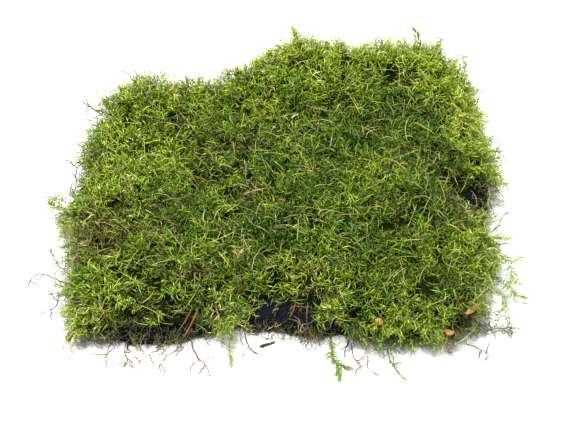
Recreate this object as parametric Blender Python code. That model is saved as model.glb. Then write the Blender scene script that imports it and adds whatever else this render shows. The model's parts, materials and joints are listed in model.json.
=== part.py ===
"""A clump of turf moss, lifted from the ground with a little of its soil.

Lengths are in millimetres down to the objects, which are in metres. X runs along the clump, Y from its
front to its back and Z up. Places are given from the middle of the moss mat, and the empty that carries
all the pieces puts the middle of the whole clump, stray shoots and all, over the origin.
"""

import math
import random

import bmesh
import bpy
from mathutils import Matrix, Vector, noise
from mathutils.bvhtree import BVHTree

MM = 0.001
GAP = 0.35  # between two pieces that touch
CLUMP_PLACE = (2.0, 1.2, 0.0)  # the middle of the mat, seen from the middle of the whole clump

# The edge of the mat as it lies, a corner or a bend at a time, from the left back corner round by the right.
MAT_EDGE = [
    (-127, 89), (-106, 99), (-75, 98), (-45, 101), (-28, 108), (-12, 123), (8, 131), (36, 126), (70, 128),
    (98, 128), (120, 123), (138, 105), (147, 64), (150, 33), (153, 4), (147, -17), (141, -43), (142, -62),
    (133, -80), (133, -92), (128, -103), (117, -112), (92, -118), (70, -113), (41, -115), (12, -108),
    (-7, -104), (-26, -107), (-50, -113), (-83, -117), (-109, -118), (-131, -111), (-139, -90),
    (-139, -71), (-141, -47), (-152, -20), (-149, -3), (-145, 20), (-141, 43), (-136, 64),
]
# Hummocks of the mat: x, y, height above the mat, reach along x, reach along y.
HUMMOCKS = [
    (70, -14, 16, 50, 46),
    (16, 100, 27, 38, 34),
    (90, 98, 24, 46, 34),
    (-97, -58, 10, 38, 34),
    (-100, 74, 13, 44, 34),
    (-38, 88, 9, 30, 24),
    (84, -82, 7, 40, 26),
    (-36, -88, 5, 22, 18),
    (125, -9, -21, 12, 13),  # the pit beside the right edge, open down to the dark
]
VALLEY = [(-58, 58), (-66, 30), (-46, -18), (-30, -58), (-34, -92)]  # the low line between the two halves
VALLEY_DEPTH = 8.0
VALLEY_REACH = 17.0
# Bays, where the moss has come off the soil: x, y, half width, strength. Up to 0.5 the edge of the moss
# only lifts to the top of the soil, and beyond that it also draws back over it.
BAYS = [
    (2, -104, 40, 1.0),
    (146, -14, 17, 0.5),
    (-144, 14, 12, 0.7),
    (-78, -117, 42, 0.7),
]
BAY_DRAW_BACK = 17.0  # of the moss over the soil, where a bay is strongest
EDGE_SWING = (3.0, 13.0)  # unevenness of the mat's edge: its swing and the length of one lump
MAT_HEIGHT = 36.0
SWELL = 2.4  # of the broad unevenness of the mat
CELLS = (33, 26)  # tufts along x and y on top of the mat
PLACE_CHANCE = 1.9  # how far a tuft of the top strays from its cell
DEPTH_CHANCE = (-1.4, 0.6)
# Rows of tufts down the side of the mat: outset from the rim, share of the way up to the shoulder.
SIDE_ROWS = ((-1.5, 0.62), (0.4, 0.32), (-1.6, 0.0))
ROW_CHANCE = (-1.4, 0.8)
ROW_RISE_CHANCE = 4.0
SHOULDER = 8.0  # from the rim to the outermost tufts of the top
RIM_FALL_REACH = 30.0  # how far in the top begins to fall
RIM_FALL = (0.42, 0.17)  # its share at the rim, in front and at the back
RIM_FALL_Y = (-20.0, 80.0)  # where the front's share ends and the back's begins
TUFT_HEIGHT = (2.6, 6.2)
TUFT_LEAN = 1.6
TUFT_REACH = 2.6  # of the side tufts past the rim
SKIRT_BOTTOM = 3.6  # the moss hangs down beside the soil to here
SKIRT_SWING = (2.2, 9.0)  # unevenness of its lower edge: its swing and the length of one lump
SKIRT_EDGE = (1.0, 2.6)  # thickness where it lies over the soil: at its lower edge and at the soil's top

SOIL_HEIGHT = 17.0
SOIL_INSET = 11.5  # from the edge of the mat
SOIL_BAY_INSET = 3.0
SOIL_ROWS = ((0.0, 1.6), (6.0, 0.0), (13.5, 0.8), (SOIL_HEIGHT, 4.0))  # height, inset
SOIL_LUMP = 3.4
SOIL_LUMPS_ROUND = 14
RECESS = (0.56, 1.06)  # clearance round the soil: at its top and at its foot
OVER_SOIL = 4.0  # the moss that ends this near to the soil is lifted over it
LEAF_THICKNESS = 0.5
FINE_POINTS = 120  # of the whole route of a stem, which is cut where it leaves the mat
TWIG_POINTS = 4  # of the route of a side branch
FREEING_STEP = 0.25
MOST_FREEING_STEPS = 120

# Colour, roughness
FINISHES = {
    "moss_green": ((0.095, 0.19, 0.022), 0.72),
    "shoot_green": ((0.19, 0.33, 0.035), 0.65),
    "soil_dark": ((0.022, 0.016, 0.011), 0.95),
    "stem_brown": ((0.12, 0.075, 0.035), 0.85),
    "root_tan": ((0.3, 0.21, 0.12), 0.8),
    "needle_orange": ((0.35, 0.13, 0.03), 0.55),
    "leaf_tan": ((0.4, 0.2, 0.06), 0.7),
    "bark_dark": ((0.03, 0.025, 0.022), 0.85),
}


def clear_scene():
    for obj in list(bpy.data.objects):
        bpy.data.objects.remove(obj, do_unlink=True)


def finish_named(name):
    """The Principled material of one of the finishes."""
    if name in bpy.data.materials:
        return bpy.data.materials[name]
    colour, roughness = FINISHES[name]
    material = bpy.data.materials.new(name)
    material.use_nodes = True
    shader = material.node_tree.nodes["Principled BSDF"]
    shader.inputs["Base Color"].default_value = (*colour, 1.0)
    shader.inputs["Roughness"].default_value = roughness
    shader.inputs["Metallic"].default_value = 0.0
    return material


def add_piece(name, bm, finish, carrier, smooth=False):
    """An object from a bmesh in millimetres, carried by the clump's empty."""
    bmesh.ops.scale(bm, vec=(MM, MM, MM), verts=bm.verts)
    bmesh.ops.recalc_face_normals(bm, faces=bm.faces)
    mesh = bpy.data.meshes.new(name)
    bm.to_mesh(mesh)
    bm.free()
    if smooth:
        mesh.shade_smooth()
    mesh.materials.append(finish_named(finish))
    piece = bpy.data.objects.new(name, mesh)
    piece.parent = carrier
    bpy.context.collection.objects.link(piece)
    return piece


# ---- the outline of the mat and its soil ----


def edge_radius(angle):
    """From the middle of the mat to its edge, in this direction."""
    turns = sorted((math.atan2(y, x), math.hypot(x, y)) for x, y in MAT_EDGE)
    turns = [(turns[-1][0] - math.tau, turns[-1][1]), *turns, (turns[0][0] + math.tau, turns[0][1])]
    for (before, near), (after, far) in zip(turns, turns[1:]):
        if before <= angle <= after:
            share = (angle - before) / (after - before)
            return near + (far - near) * share * share * (3 - 2 * share)
    return turns[0][1]


def bay_strength(angle):
    radius = edge_radius(angle)
    place = Vector((radius * math.cos(angle), radius * math.sin(angle)))
    found = 0.0
    for x, y, half_width, strength in BAYS:
        share = min(1.0, (place - Vector((x, y))).length / half_width)
        found = max(found, strength * (1 - share**4))
    return found


def ragged(angle, size, lump):
    """Unevenness round the edge: size is its swing and lump the length of one lump."""
    radius = edge_radius(angle)
    place = Vector((radius * math.cos(angle), radius * math.sin(angle), 0)) / lump
    return size * noise.noise(place)


def rim_radius(angle):
    """The outermost row of the moss, without the tufts that stand out from it."""
    draw_back = max(0.0, bay_strength(angle) - 0.5) / 0.5
    radius = edge_radius(angle) - TUFT_REACH + ragged(angle, *EDGE_SWING)
    return radius - draw_back * BAY_DRAW_BACK


def soil_radius(angle):
    share = max(0.0, bay_strength(angle) - 0.5) / 0.5
    return edge_radius(angle) - SOIL_INSET + share * (SOIL_INSET - SOIL_BAY_INSET)


def valley_share(x, y):
    """1 on the valley's line, falling to 0 beside it."""
    place = Vector((x, y))
    nearest = math.inf
    for start, end in zip(VALLEY, VALLEY[1:]):
        start = Vector(start)
        run = Vector(end) - start
        share = max(0.0, min(1.0, (place - start).dot(run) / run.length_squared))
        nearest = min(nearest, (place - start - share * run).length)
    return math.exp(-((nearest / VALLEY_REACH) ** 2))


def mat_height(x, y):
    """The top of the mat under its tufts."""
    height = MAT_HEIGHT - VALLEY_DEPTH * valley_share(x, y)
    for hummock_x, hummock_y, rise, reach_x, reach_y in HUMMOCKS:
        away = ((x - hummock_x) / reach_x) ** 2 + ((y - hummock_y) / reach_y) ** 2
        height += rise * math.exp(-away)
    height += SWELL * noise.noise(Vector((x / 26, y / 26, 3.0)))
    from_rim = rim_radius(math.atan2(y, x)) - math.hypot(x, y)
    in_front, at_back = RIM_FALL
    front_y, back_y = RIM_FALL_Y
    fall = in_front + (at_back - in_front) * max(0.0, min(1.0, (y - front_y) / (back_y - front_y)))
    return height * (1 - fall * (1 - max(0.0, min(1.0, from_rim / RIM_FALL_REACH))) ** 2)


# ---- the two main pieces ----


def rim_cells():
    """The grid's edge, once round from its front left corner, against the clock."""
    across, deep = CELLS
    return (
        [(i, 0) for i in range(across)]
        + [(across, j) for j in range(deep)]
        + [(i, deep) for i in range(across, 0, -1)]
        + [(0, j) for j in range(deep, 0, -1)]
    )


def grid_place(i, j):
    """Where a grid point of the top lies: the square grid is drawn out to the mat's outline."""
    across, deep = CELLS
    u = 2 * i / across - 1
    v = 2 * j / deep - 1
    share = max(abs(u), abs(v))
    if share == 0:
        return 0.0, 0.0, 0.0
    angle = math.atan2(v * deep, u * across)
    radius = share * (rim_radius(angle) - SHOULDER)
    return radius * math.cos(angle), radius * math.sin(angle), angle


def ring_at(bm, angles, radii, heights):
    return [
        bm.verts.new((radius * math.cos(angle), radius * math.sin(angle), height))
        for angle, radius, height in zip(angles, radii, heights)
    ]


def join_rings(bm, upper, lower):
    faces = []
    for index in range(len(upper)):
        after = (index + 1) % len(upper)
        faces.append(bm.faces.new((upper[index], lower[index], lower[after], upper[after])))
    return faces


def rim_angles():
    return [grid_place(i, j)[2] for i, j in rim_cells()]


def make_soil_pad(carrier):
    bm = bmesh.new()
    angles = rim_angles()
    rings = []
    for height, inset in SOIL_ROWS:
        radii = []
        for angle in angles:
            place = Vector((math.cos(angle), math.sin(angle), height / 60)) * SOIL_LUMPS_ROUND
            lump = abs(noise.noise(place)) * SOIL_LUMP if 0 < height < SOIL_HEIGHT else 0.0
            radii.append(soil_radius(angle) - inset - lump)
        rings.append(ring_at(bm, angles, radii, [height] * len(angles)))
    for lower, upper in zip(rings, rings[1:]):
        join_rings(bm, upper, lower)
    bm.faces.new(rings[0])
    bm.faces.new(rings[-1])
    return add_piece("soil_pad", bm, "soil_dark", carrier)


def skirt_heights(angles):
    """Where the moss ends at the bottom. It clears the soil before its edge draws back over it."""
    ceiling = SOIL_HEIGHT + GAP
    heights = []
    for angle in angles:
        lift = min(1.0, bay_strength(angle) / 0.5)
        swing = ragged(angle, *SKIRT_SWING) * (1 - lift)
        heights.append(SKIRT_BOTTOM + (ceiling - SKIRT_BOTTOM) * lift + swing)
    lowest_outset = SIDE_ROWS[-1][0]
    over_soil = [rim_radius(angle) + lowest_outset < soil_radius(angle) + OVER_SOIL for angle in angles]
    for index, over in enumerate(over_soil):
        if over or over_soil[index - 1] or over_soil[(index + 1) % len(over_soil)]:
            heights[index] = ceiling
    return heights


def raise_tufts(bm, faces, chance, side=False):
    """Each face becomes a pointed tuft, with its own height and lean."""
    centres = bmesh.ops.poke(bm, faces=faces)["verts"]
    bm.normal_update()
    for centre in centres:
        away = centre.normal.copy()
        if side:
            away = (away + Vector((0, 0, 0.1))).normalized()
        lean = Vector((chance.uniform(-1, 1), chance.uniform(-1, 1), chance.uniform(-1, 0.4)))
        centre.co += away * chance.uniform(*TUFT_HEIGHT) + lean * TUFT_LEAN
        lowest = min(edge.other_vert(centre).co.z for edge in centre.link_edges)
        centre.co.z = max(centre.co.z, lowest)


def make_moss_carpet(carrier):
    bm = bmesh.new()
    chance = random.Random(11)
    across, deep = CELLS
    grid = {}
    for i in range(across + 1):
        for j in range(deep + 1):
            x, y, _ = grid_place(i, j)
            if 0 < i < across and 0 < j < deep:
                x += chance.uniform(-PLACE_CHANCE, PLACE_CHANCE)
                y += chance.uniform(-PLACE_CHANCE, PLACE_CHANCE)
            grid[i, j] = bm.verts.new((x, y, mat_height(x, y) + chance.uniform(*DEPTH_CHANCE)))
    top = []
    for i in range(across):
        for j in range(deep):
            corners = (grid[i, j], grid[i + 1, j], grid[i + 1, j + 1], grid[i, j + 1])
            top.append(bm.faces.new(corners))

    angles = rim_angles()
    shoulder = [grid[cell] for cell in rim_cells()]
    skirt = skirt_heights(angles)
    sides = []
    upper = shoulder
    for outset, share in SIDE_ROWS:
        radii = [rim_radius(angle) + outset + chance.uniform(*ROW_CHANCE) for angle in angles]
        heights = []
        for low, vert in zip(skirt, shoulder):
            rise = vert.co.z - low + chance.uniform(-ROW_RISE_CHANCE, ROW_RISE_CHANCE)
            heights.append(low + share * rise)
        lower = ring_at(bm, angles, radii, heights)
        sides += join_rings(bm, upper, lower)
        upper = lower

    ceiling = SOIL_HEIGHT + GAP
    top_clearance, foot_clearance = RECESS
    edge, edge_above = SKIRT_EDGE
    wall_feet = []
    wall_tops = []
    for angle, radius in zip(angles, radii):
        soil = soil_radius(angle)
        over_soil = radius - edge < soil + foot_clearance
        wall_feet.append(radius - edge if over_soil else soil + foot_clearance)
        wall_tops.append(radius - edge_above if over_soil else soil + top_clearance)
    feet = ring_at(bm, angles, wall_feet, [min(low + 0.6, ceiling) for low in skirt])
    join_rings(bm, upper, feet)
    tops = ring_at(bm, angles, wall_tops, [ceiling] * len(angles))
    join_rings(bm, feet, tops)
    bm.faces.new(tops)
    bmesh.ops.recalc_face_normals(bm, faces=bm.faces)
    raise_tufts(bm, top, chance)
    raise_tufts(bm, sides, chance, side=True)
    return add_piece("moss_carpet", bm, "moss_green", carrier)


# ---- small pieces, each clear of those before it ----


def smooth_route(points, count):
    """Points along one smooth curve through the given ones."""
    points = [Vector(point) for point in points]
    ends = [points[0] * 2 - points[1], *points, points[-1] * 2 - points[-2]]
    route = []
    for step in range(count):
        along = step / (count - 1) * (len(points) - 1)
        index = min(int(along), len(points) - 2)
        t = along - index
        a, b, c, d = ends[index : index + 4]
        bend = 2 * b + (c - a) * t + (2 * a - 5 * b + 4 * c - d) * t**2 + (3 * b - a - 3 * c + d) * t**3
        route.append(bend / 2)
    return route


def sweep(route, radii, sides, star=0.0, turn=0.0):
    """A closed body along the route, as a bmesh. star pulls every second corner in, for leafy shoots."""
    bm = bmesh.new()
    rings = []
    side = None
    for index in range(1, len(route) - 1):
        run = (route[index + 1] - route[index - 1]).normalized()
        if side is None:
            side = run.orthogonal().normalized()
        side = (side - run * side.dot(run)).normalized()
        up = run.cross(side)
        ring = []
        for corner in range(sides):
            angle = turn * index + math.tau * corner / sides
            reach = radii[index] * (1 - star * (corner % 2))
            ring.append(bm.verts.new(route[index] + reach * (side * math.cos(angle) + up * math.sin(angle))))
        rings.append(ring)
    for ring, after in zip(rings, rings[1:]):
        join_rings(bm, ring, after)
    start = bm.verts.new(route[0])
    end = bm.verts.new(route[-1])
    for index in range(sides):
        after = (index + 1) % sides
        bm.faces.new((start, rings[0][index], rings[0][after]))
        bm.faces.new((end, rings[-1][after], rings[-1][index]))
    bmesh.ops.recalc_face_normals(bm, faces=bm.faces)
    return bm


class Neighbours:
    """The pieces that are already in place, to keep the next ones clear of them."""

    def __init__(self):
        self.trees = []
        self.mat_trees = []

    def add(self, bm):
        self.trees.append(BVHTree.FromBMesh(bm))

    def add_piece(self, piece):
        bm = bmesh.new()
        bm.from_mesh(piece.data)
        bmesh.ops.scale(bm, vec=(1 / MM, 1 / MM, 1 / MM), verts=bm.verts)
        self.add(bm)
        self.mat_trees.append(self.trees[-1])
        bm.free()

    def surface_from(self, tip, root):
        """Where a line from tip to root first meets a piece, or root if it meets none."""
        run = Vector(root) - Vector(tip)
        nearest = run.length
        for tree in self.trees:
            place, _, _, away = tree.ray_cast(Vector(tip), run.normalized(), nearest)
            if place is not None:
                nearest = min(nearest, away)
        return Vector(tip) + run.normalized() * nearest

    def clear_end(self, route):
        """The end of a route that lies clear of the mat, from where it leaves it."""
        for index in range(len(route) - 1, -1, -1):
            if any(tree.find_nearest(route[index])[3] < GAP for tree in self.mat_trees):
                return route[index + 1 :]
        return route

    def on_top(self, x, y, lift=1.0):
        """A point just above what lies at this place."""
        high = Vector((x, y, 2 * MAT_HEIGHT))
        return self.surface_from(high, (x, y, 0)) + Vector((0, 0, lift))

    def free_it(self, bm, direction):
        """Moves a body along direction until it clears all that is in place, and then a gap more."""
        step = Vector(direction).normalized() * FREEING_STEP
        moved = 0
        while any(tree.overlap(BVHTree.FromBMesh(bm)) for tree in self.trees):
            bmesh.ops.translate(bm, vec=step, verts=bm.verts)
            moved += 1
            if moved > MOST_FREEING_STEPS:
                raise ValueError("a small piece finds no free place")
        bmesh.ops.translate(bm, vec=step.normalized() * GAP, verts=bm.verts)
        lowest = min(vert.co.z for vert in bm.verts)
        if lowest < 0:
            bmesh.ops.translate(bm, vec=(0, 0, -lowest), verts=bm.verts)


def outward_of(start, tip):
    """The way a piece is drawn to come free: from its start to its tip, never down."""
    run = Vector(tip) - Vector(start)
    run.z = max(run.z, 0.0)
    return run


def leafy_shoot(name, root, tip, width, bow, carrier, neighbours, tiers=4):
    """A leafy moss shoot: tiers of leaves that point to its tip, on a stem that bows by the vector bow."""
    start = neighbours.surface_from(tip, root)
    tip = Vector(tip)
    middle = (start + tip) / 2 + Vector(bow)
    fine_route = smooth_route([start, middle, tip], 4 * tiers + 2)
    route = [fine_route[0]]
    radii = [0.0]
    for tier in range(tiers):
        share = tier / tiers
        leaf = width / 2 * (0.5 + 1.4 * share - 1.5 * share**2)
        route += [fine_route[4 * tier + 1], fine_route[4 * tier + 4]]
        radii += [max(0.45, leaf * 0.3), leaf]
    route.append(fine_route[-1])
    radii.append(0.0)
    bm = sweep(route, radii, 6, star=0.55, turn=0.25)
    neighbours.free_it(bm, outward_of(start, tip))
    neighbours.add(bm)
    add_piece(name, bm, "shoot_green", carrier)


def thin_stem(name, points, width, finish, carrier, neighbours, count=8, sides=4, branches=()):
    """A bare stem or root through the points. Each branch gives its start's share and its points."""
    fine_route = neighbours.clear_end(smooth_route(points, FINE_POINTS))
    last = len(fine_route) - 1
    route = [fine_route[round(last * index / (count - 1))] for index in range(count)]
    radii = [width / 2 * (1 - 0.55 * index / (count - 1)) for index in range(count)]
    bm = sweep(route, radii, sides)
    for share, *branch_points in branches:
        index = round(share * (count - 1))
        root = route[index]
        path = smooth_route([root, *[root + Vector(point) for point in branch_points]], TWIG_POINTS)
        twig = sweep(path, [radii[index] * 0.8 * (1 - 0.1 * step) for step in range(TWIG_POINTS)], 3)
        bm = united(bm, twig)
    neighbours.free_it(bm, outward_of(route[0], route[count // 2]))
    neighbours.add(bm)
    return add_piece(name, bm, finish, carrier, smooth=True)


def united(bm, other):
    """One closed body of two that overlap, joined by a Boolean union."""
    pieces = []
    for body in (bm, other):
        mesh = bpy.data.meshes.new("joining")
        body.to_mesh(mesh)
        body.free()
        piece = bpy.data.objects.new("joining", mesh)
        bpy.context.collection.objects.link(piece)
        pieces.append(piece)
    union = pieces[0].modifiers.new("union", "BOOLEAN")
    union.operation = "UNION"
    union.solver = "EXACT"
    union.object = pieces[1]
    graph = bpy.context.evaluated_depsgraph_get()
    joined = bmesh.new()
    joined.from_object(pieces[0], graph)
    for piece in pieces:
        bpy.data.objects.remove(piece, do_unlink=True)
    return joined


def leaf_scrap(name, x_place, y_place, length, width, curl, turn, carrier, neighbours):
    """A bit of dry leaf: a thin curled flake."""
    bm = bmesh.new()
    place = neighbours.on_top(x_place, y_place)
    rows = []
    for side in (1, -1):
        grid = []
        for i in range(5):
            along = i / 4 - 0.5
            half = width / 2 * math.sqrt(1 - (1.85 * along) ** 2)
            for j in (-1, 0, 1):
                x = along * length
                y = j * half
                rise = curl * (along**2 * 4 + 0.4 * j * j) + 0.5 * along * j
                spun = Vector((x, y, rise + side * LEAF_THICKNESS / 2))
                spun.rotate(Matrix.Rotation(turn, 3, "Z"))
                grid.append(bm.verts.new(place + spun))
        rows.append(grid)
    upper, lower = rows
    rim = [0, 3, 6, 9, 12, 13, 14, 11, 8, 5, 2, 1]
    for i in range(4):
        for j in range(2):
            corner = 3 * i + j
            bm.faces.new([upper[corner + step] for step in (0, 3, 4, 1)])
            bm.faces.new([lower[corner + step] for step in (0, 1, 4, 3)])
    for index, corner in enumerate(rim):
        after = rim[(index + 1) % len(rim)]
        bm.faces.new((upper[corner], lower[corner], lower[after], upper[after]))
    neighbours.free_it(bm, (0, -0.5, 1))
    neighbours.add(bm)
    return add_piece(name, bm, "leaf_tan", carrier)


def make_shoots(carrier, neighbours):
    """Shoots that stand clear of the rim: name, root in the mat, tip, width, bow."""
    shoots = [
        ("back_right_tall", (97, 100, 52), (96, 111, 75), 9.5, (4, -2, 0)),
        ("back_right_mid", (110, 95, 50), (116, 107, 69), 8.0, (-3, 0, 3)),
        ("back_right_corner", (127, 80, 42), (131, 96, 63), 9.0, (4, 1, 0)),
        ("back_middle", (13, 104, 52), (9, 115, 70), 7.0, (1, -1, 0)),
        ("right_upper", (134, 8, 38), (153, 1, 33), 9.5, (0, 3, 5)),
        ("right_middle", (130, -48, 30), (151, -42, 26), 8.0, (0, -3, 5)),
        ("left_star", (-134, -4, 26), (-157, -12, 26), 12.0, (0, 1, 3)),
        ("left_middle", (-132, -76, 24), (-151, -56, 30), 6.0, (-1, -3, 3)),
        ("front_tuft", (-33, -96, 20), (-32, -116, 2.5), 9.0, (0, -3, 3)),
    ]
    for name, root, tip, width, bow in shoots:
        leafy_shoot(f"shoot_{name}", root, tip, width, bow, carrier, neighbours)
    thin_stem(
        "shoot_right_lower",
        [(130, -50, 28), (147, -56, 23), (151.5, -66, 18), (149, -73, 14), (154, -77, 10), (161, -77, 7)],
        2.6, "shoot_green", carrier, neighbours, count=11,
        branches=[(0.25, (4, 3, 2), (8, 4, 3)), (0.45, (3, -2, 0), (6, -5, -1))],
    )
    thin_stem(
        "shoot_right_front_arc",
        [(124, -82, 16), (134, -80, 17), (140.5, -78.5, 15), (144.5, -82, 12), (145, -86, 9), (139, -91, 6)],
        3.6, "shoot_green", carrier, neighbours, count=12,
        branches=[(0.35, (3, 4, 1), (5, 6, 0)), (0.6, (3, -1, 0), (6, 0, -2))],
    )
    thin_stem(
        "shoot_right_front_brown",
        [(120, -100, 10), (131, -103, 7), (139, -100, 5), (145, -99, 4), (148, -95, 6), (146, -92, 7)],
        3.0, "shoot_green", carrier, neighbours, count=10,
        branches=[(0.4, (2, -3, 0), (5, -4, -0.5)), (0.6, (3, -2, 1), (7, -2, 2))],
    )


def make_ground_bits(carrier, neighbours):
    """What trails out from under the front and lies on the ground."""
    thin_stem(
        "sprig_green",
        [(30, -98, 8), (32, -115, 5), (33.5, -120, 3.5), (35.5, -127, 3), (37, -135.5, 2.6)],
        5.2, "shoot_green", carrier, neighbours, count=11, sides=5,
        branches=[(0.65, (5, -3, -0.4), (9, -4, -0.4)), (0.35, (-3, 1, 0.4), (-5, 2, 0.4))],
    )
    thin_stem(
        "sprig_small",
        [(66, -106, 6), (69, -122, 2), (72, -128, 1.8), (78, -136, 1.2)],
        2.2, "shoot_green", carrier, neighbours, branches=[(0.4, (3, 2, 0.4), (6, 1, 0))],
    )
    thin_stem(
        "stem_front_dark",
        [(46, -102, 8), (43, -112, 6), (41, -116, 4), (40, -120, 1.5)],
        2.2, "bark_dark", carrier, neighbours, count=9,
        branches=[(0.3, (-3, -1, -1), (-5, -3, -3))],
    )
    thin_stem(
        "stem_front_curl",
        [(46, -102, 8), (44.5, -115, 5), (46, -121, 3), (50, -126, 2), (54, -126, 3), (55, -121, 4)],
        2.2, "stem_brown", carrier, neighbours, count=12,
        branches=[
            (0.35, (4, 1, 0), (7, 3, 0)),
            (0.55, (-3, -3, 0), (-4, -6, -0.4)),
            (0.7, (4, -4, -1), (9, -7, -1.2)),
        ],
    )
    thin_stem(
        "bark_chip",
        [(-15, -112, 1.2), (-9, -110, 1.3), (-3, -107.5, 1.3)],
        2.6, "bark_dark", carrier, neighbours, count=6, sides=5,
    )


def make_dead_stems(carrier, neighbours):
    """Brown stems without leaves, with their side branches."""
    thin_stem(
        "stem_left_loop",
        [(-130, -79, 21), (-142, -76, 23), (-152, -72, 25), (-160, -70, 22), (-164, -71, 16), (-158, -71, 10)],
        1.6, "stem_brown", carrier, neighbours, count=12,
        branches=[(0.4, (-3, -3, -1), (-5, -6, -2)), (0.7, (-1, -3, -1), (-1, -5, -3))],
    )
    thin_stem(
        "stem_left_front",
        [(-128, -78, 20), (-143, -78, 14), (-145.5, -84, 8), (-154, -86, 4), (-158, -89, 2)],
        1.8, "stem_brown", carrier, neighbours, count=10,
        branches=[(0.3, (-4, 3, 2), (-7, 8, 4)), (0.6, (0, -4, -2), (1, -7, -3))],
    )
    thin_stem(
        "stem_back_left",
        [(-116, 62, 35), (-128, 64, 38), (-136, 66, 40), (-142, 70, 41), (-146, 74, 42)],
        2.4, "needle_orange", carrier, neighbours, count=10,
        branches=[(0.6, (-2, -1, -6), (-3, -2, -12)), (0.4, (-2, 1, 3), (-3, 4, 8))],
    )
    thin_stem(
        "stem_back_left_dark",
        [(-99, 80, 38), (-110, 90, 48), (-117, 96, 50), (-120, 94, 48)],
        1.5, "bark_dark", carrier, neighbours,
    )
    thin_stem(
        "stem_left_dark",
        [(-134, 22, 28), (-141, 21, 30), (-145, 20, 21), (-147, 19, 12)],
        2.0, "bark_dark", carrier, neighbours,
        branches=[(0.4, (-5, 4, 3), (-10, 8, 2)), (0.65, (-3, 3, 0), (-7, 4, -2))],
    )
    thin_stem(
        "stem_right_back",
        [(124, 62, 38), (139, 66, 44), (142, 72, 48)],
        1.5, "bark_dark", carrier, neighbours,
    )
    thin_stem(
        "stem_right_mid",
        [(132, 26, 36), (144, 24, 40), (150, 22, 41), (154, 19, 39), (156.5, 15, 35)],
        1.6, "stem_brown", carrier, neighbours, branches=[(0.4, (3, 4, 2), (5, 6, 1))],
    )
    thin_stem(
        "stem_right_notch",
        [(126, 2, 30), (136, -2, 38), (145, -6, 36), (152, -11, 29)],
        1.9, "bark_dark", carrier, neighbours, branches=[(0.35, (1, -5, -4), (7, -9, -8))],
    )
    thin_stem(
        "stem_right_low",
        [(134, -38, 22), (146, -32, 25), (148, -26, 27), (154, -20, 26)],
        1.6, "bark_dark", carrier, neighbours,
    )


def make_rootlets(carrier, neighbours):
    """Roots and old stems that hang from the edge of the soil down to the ground."""
    thin_stem(
        "rootlet_left",
        [(-103, -100, 8), (-104, -113, 7), (-108, -117, 4.5), (-112, -120, 2.5), (-115, -125, 1.2)],
        3.0, "root_tan", carrier, neighbours, count=9,
        branches=[
            (0.6, (1, -4, -1.5), (0, -8, -3)),
            (0.8, (3, -4, 0), (4, -6, 0)),
            (0.45, (-6, -1, 0), (-13, 1, -1)),
        ],
    )
    thin_stem(
        "rootlet_brown",
        [(-97, -100, 8), (-99, -114, 6), (-99, -119, 4), (-97, -123, 2.2), (-101, -127, 1.4)],
        2.0, "stem_brown", carrier, neighbours, count=9,
        branches=[(0.55, (3, -2, -1), (4, -4, -2)), (0.75, (-4, 0, 0), (-6, -3, -0.6))],
    )
    thin_stem(
        "rootlet_pale",
        [(-70, -100, 9), (-74, -115, 8), (-81, -118, 5), (-87, -122, 3), (-92, -126, 2), (-96, -131, 1.2)],
        2.2, "root_tan", carrier, neighbours, count=11,
        branches=[
            (0.55, (-4, 3, 0.5), (-7, 3, -1)),
            (0.75, (-3, 2, 0), (-4, -1, 0)),
            (0.45, (3, -4, -1), (4, -7, -2)),
        ],
    )
    thin_stem(
        "rootlet_forked",
        [(-58, -100, 8), (-57, -113, 6), (-52, -121, 2.5), (-48, -125, 1.6), (-44, -135, 1.2)],
        2.0, "root_tan", carrier, neighbours, count=11,
        branches=[
            (0.45, (-4, -4, -1.5), (-5, -10, -3)),
            (0.6, (5, 3, 0), (10, 4, 0)),
            (0.68, (-3, -5, 0), (-4, -8, 0)),
        ],
    )
    thin_stem(
        "rootlet_thin",
        [(-62, -100, 6), (-64, -114, 5), (-72, -119, 2.5), (-77, -126, 1.4), (-74, -131, 1)],
        1.4, "stem_brown", carrier, neighbours, count=9, branches=[(0.6, (3, -4, 0), (3, -7, -0.4))],
    )
    thin_stem(
        "rootlet_hollow_left",
        [(-22, -88, 12), (-23, -107, 8), (-20, -113, 4), (-14, -117, 1)],
        1.6, "stem_brown", carrier, neighbours, branches=[(0.55, (-4, -4, -2), (-5, -8, -3))],
    )
    thin_stem(
        "rootlet_hollow_middle",
        [(17, -92, 24), (16, -106, 21), (19, -111, 13), (15, -115, 5)],
        1.8, "stem_brown", carrier, neighbours, count=9, branches=[(0.6, (4, -2, -4), (6, -2, -9))],
    )
    thin_stem(
        "rootlet_right",
        [(108, -102, 10), (115, -112, 7), (123, -113, 4), (130, -117, 2), (134, -120, 1.4)],
        1.8, "stem_brown", carrier, neighbours, count=9,
        branches=[
            (0.5, (-2, -5, -2), (-1, -7, -3)),
            (0.65, (2, 5, 1), (4, 9, 2)),
            (0.75, (-3, -3, 0), (-4, -6, 0)),
        ],
    )


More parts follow.
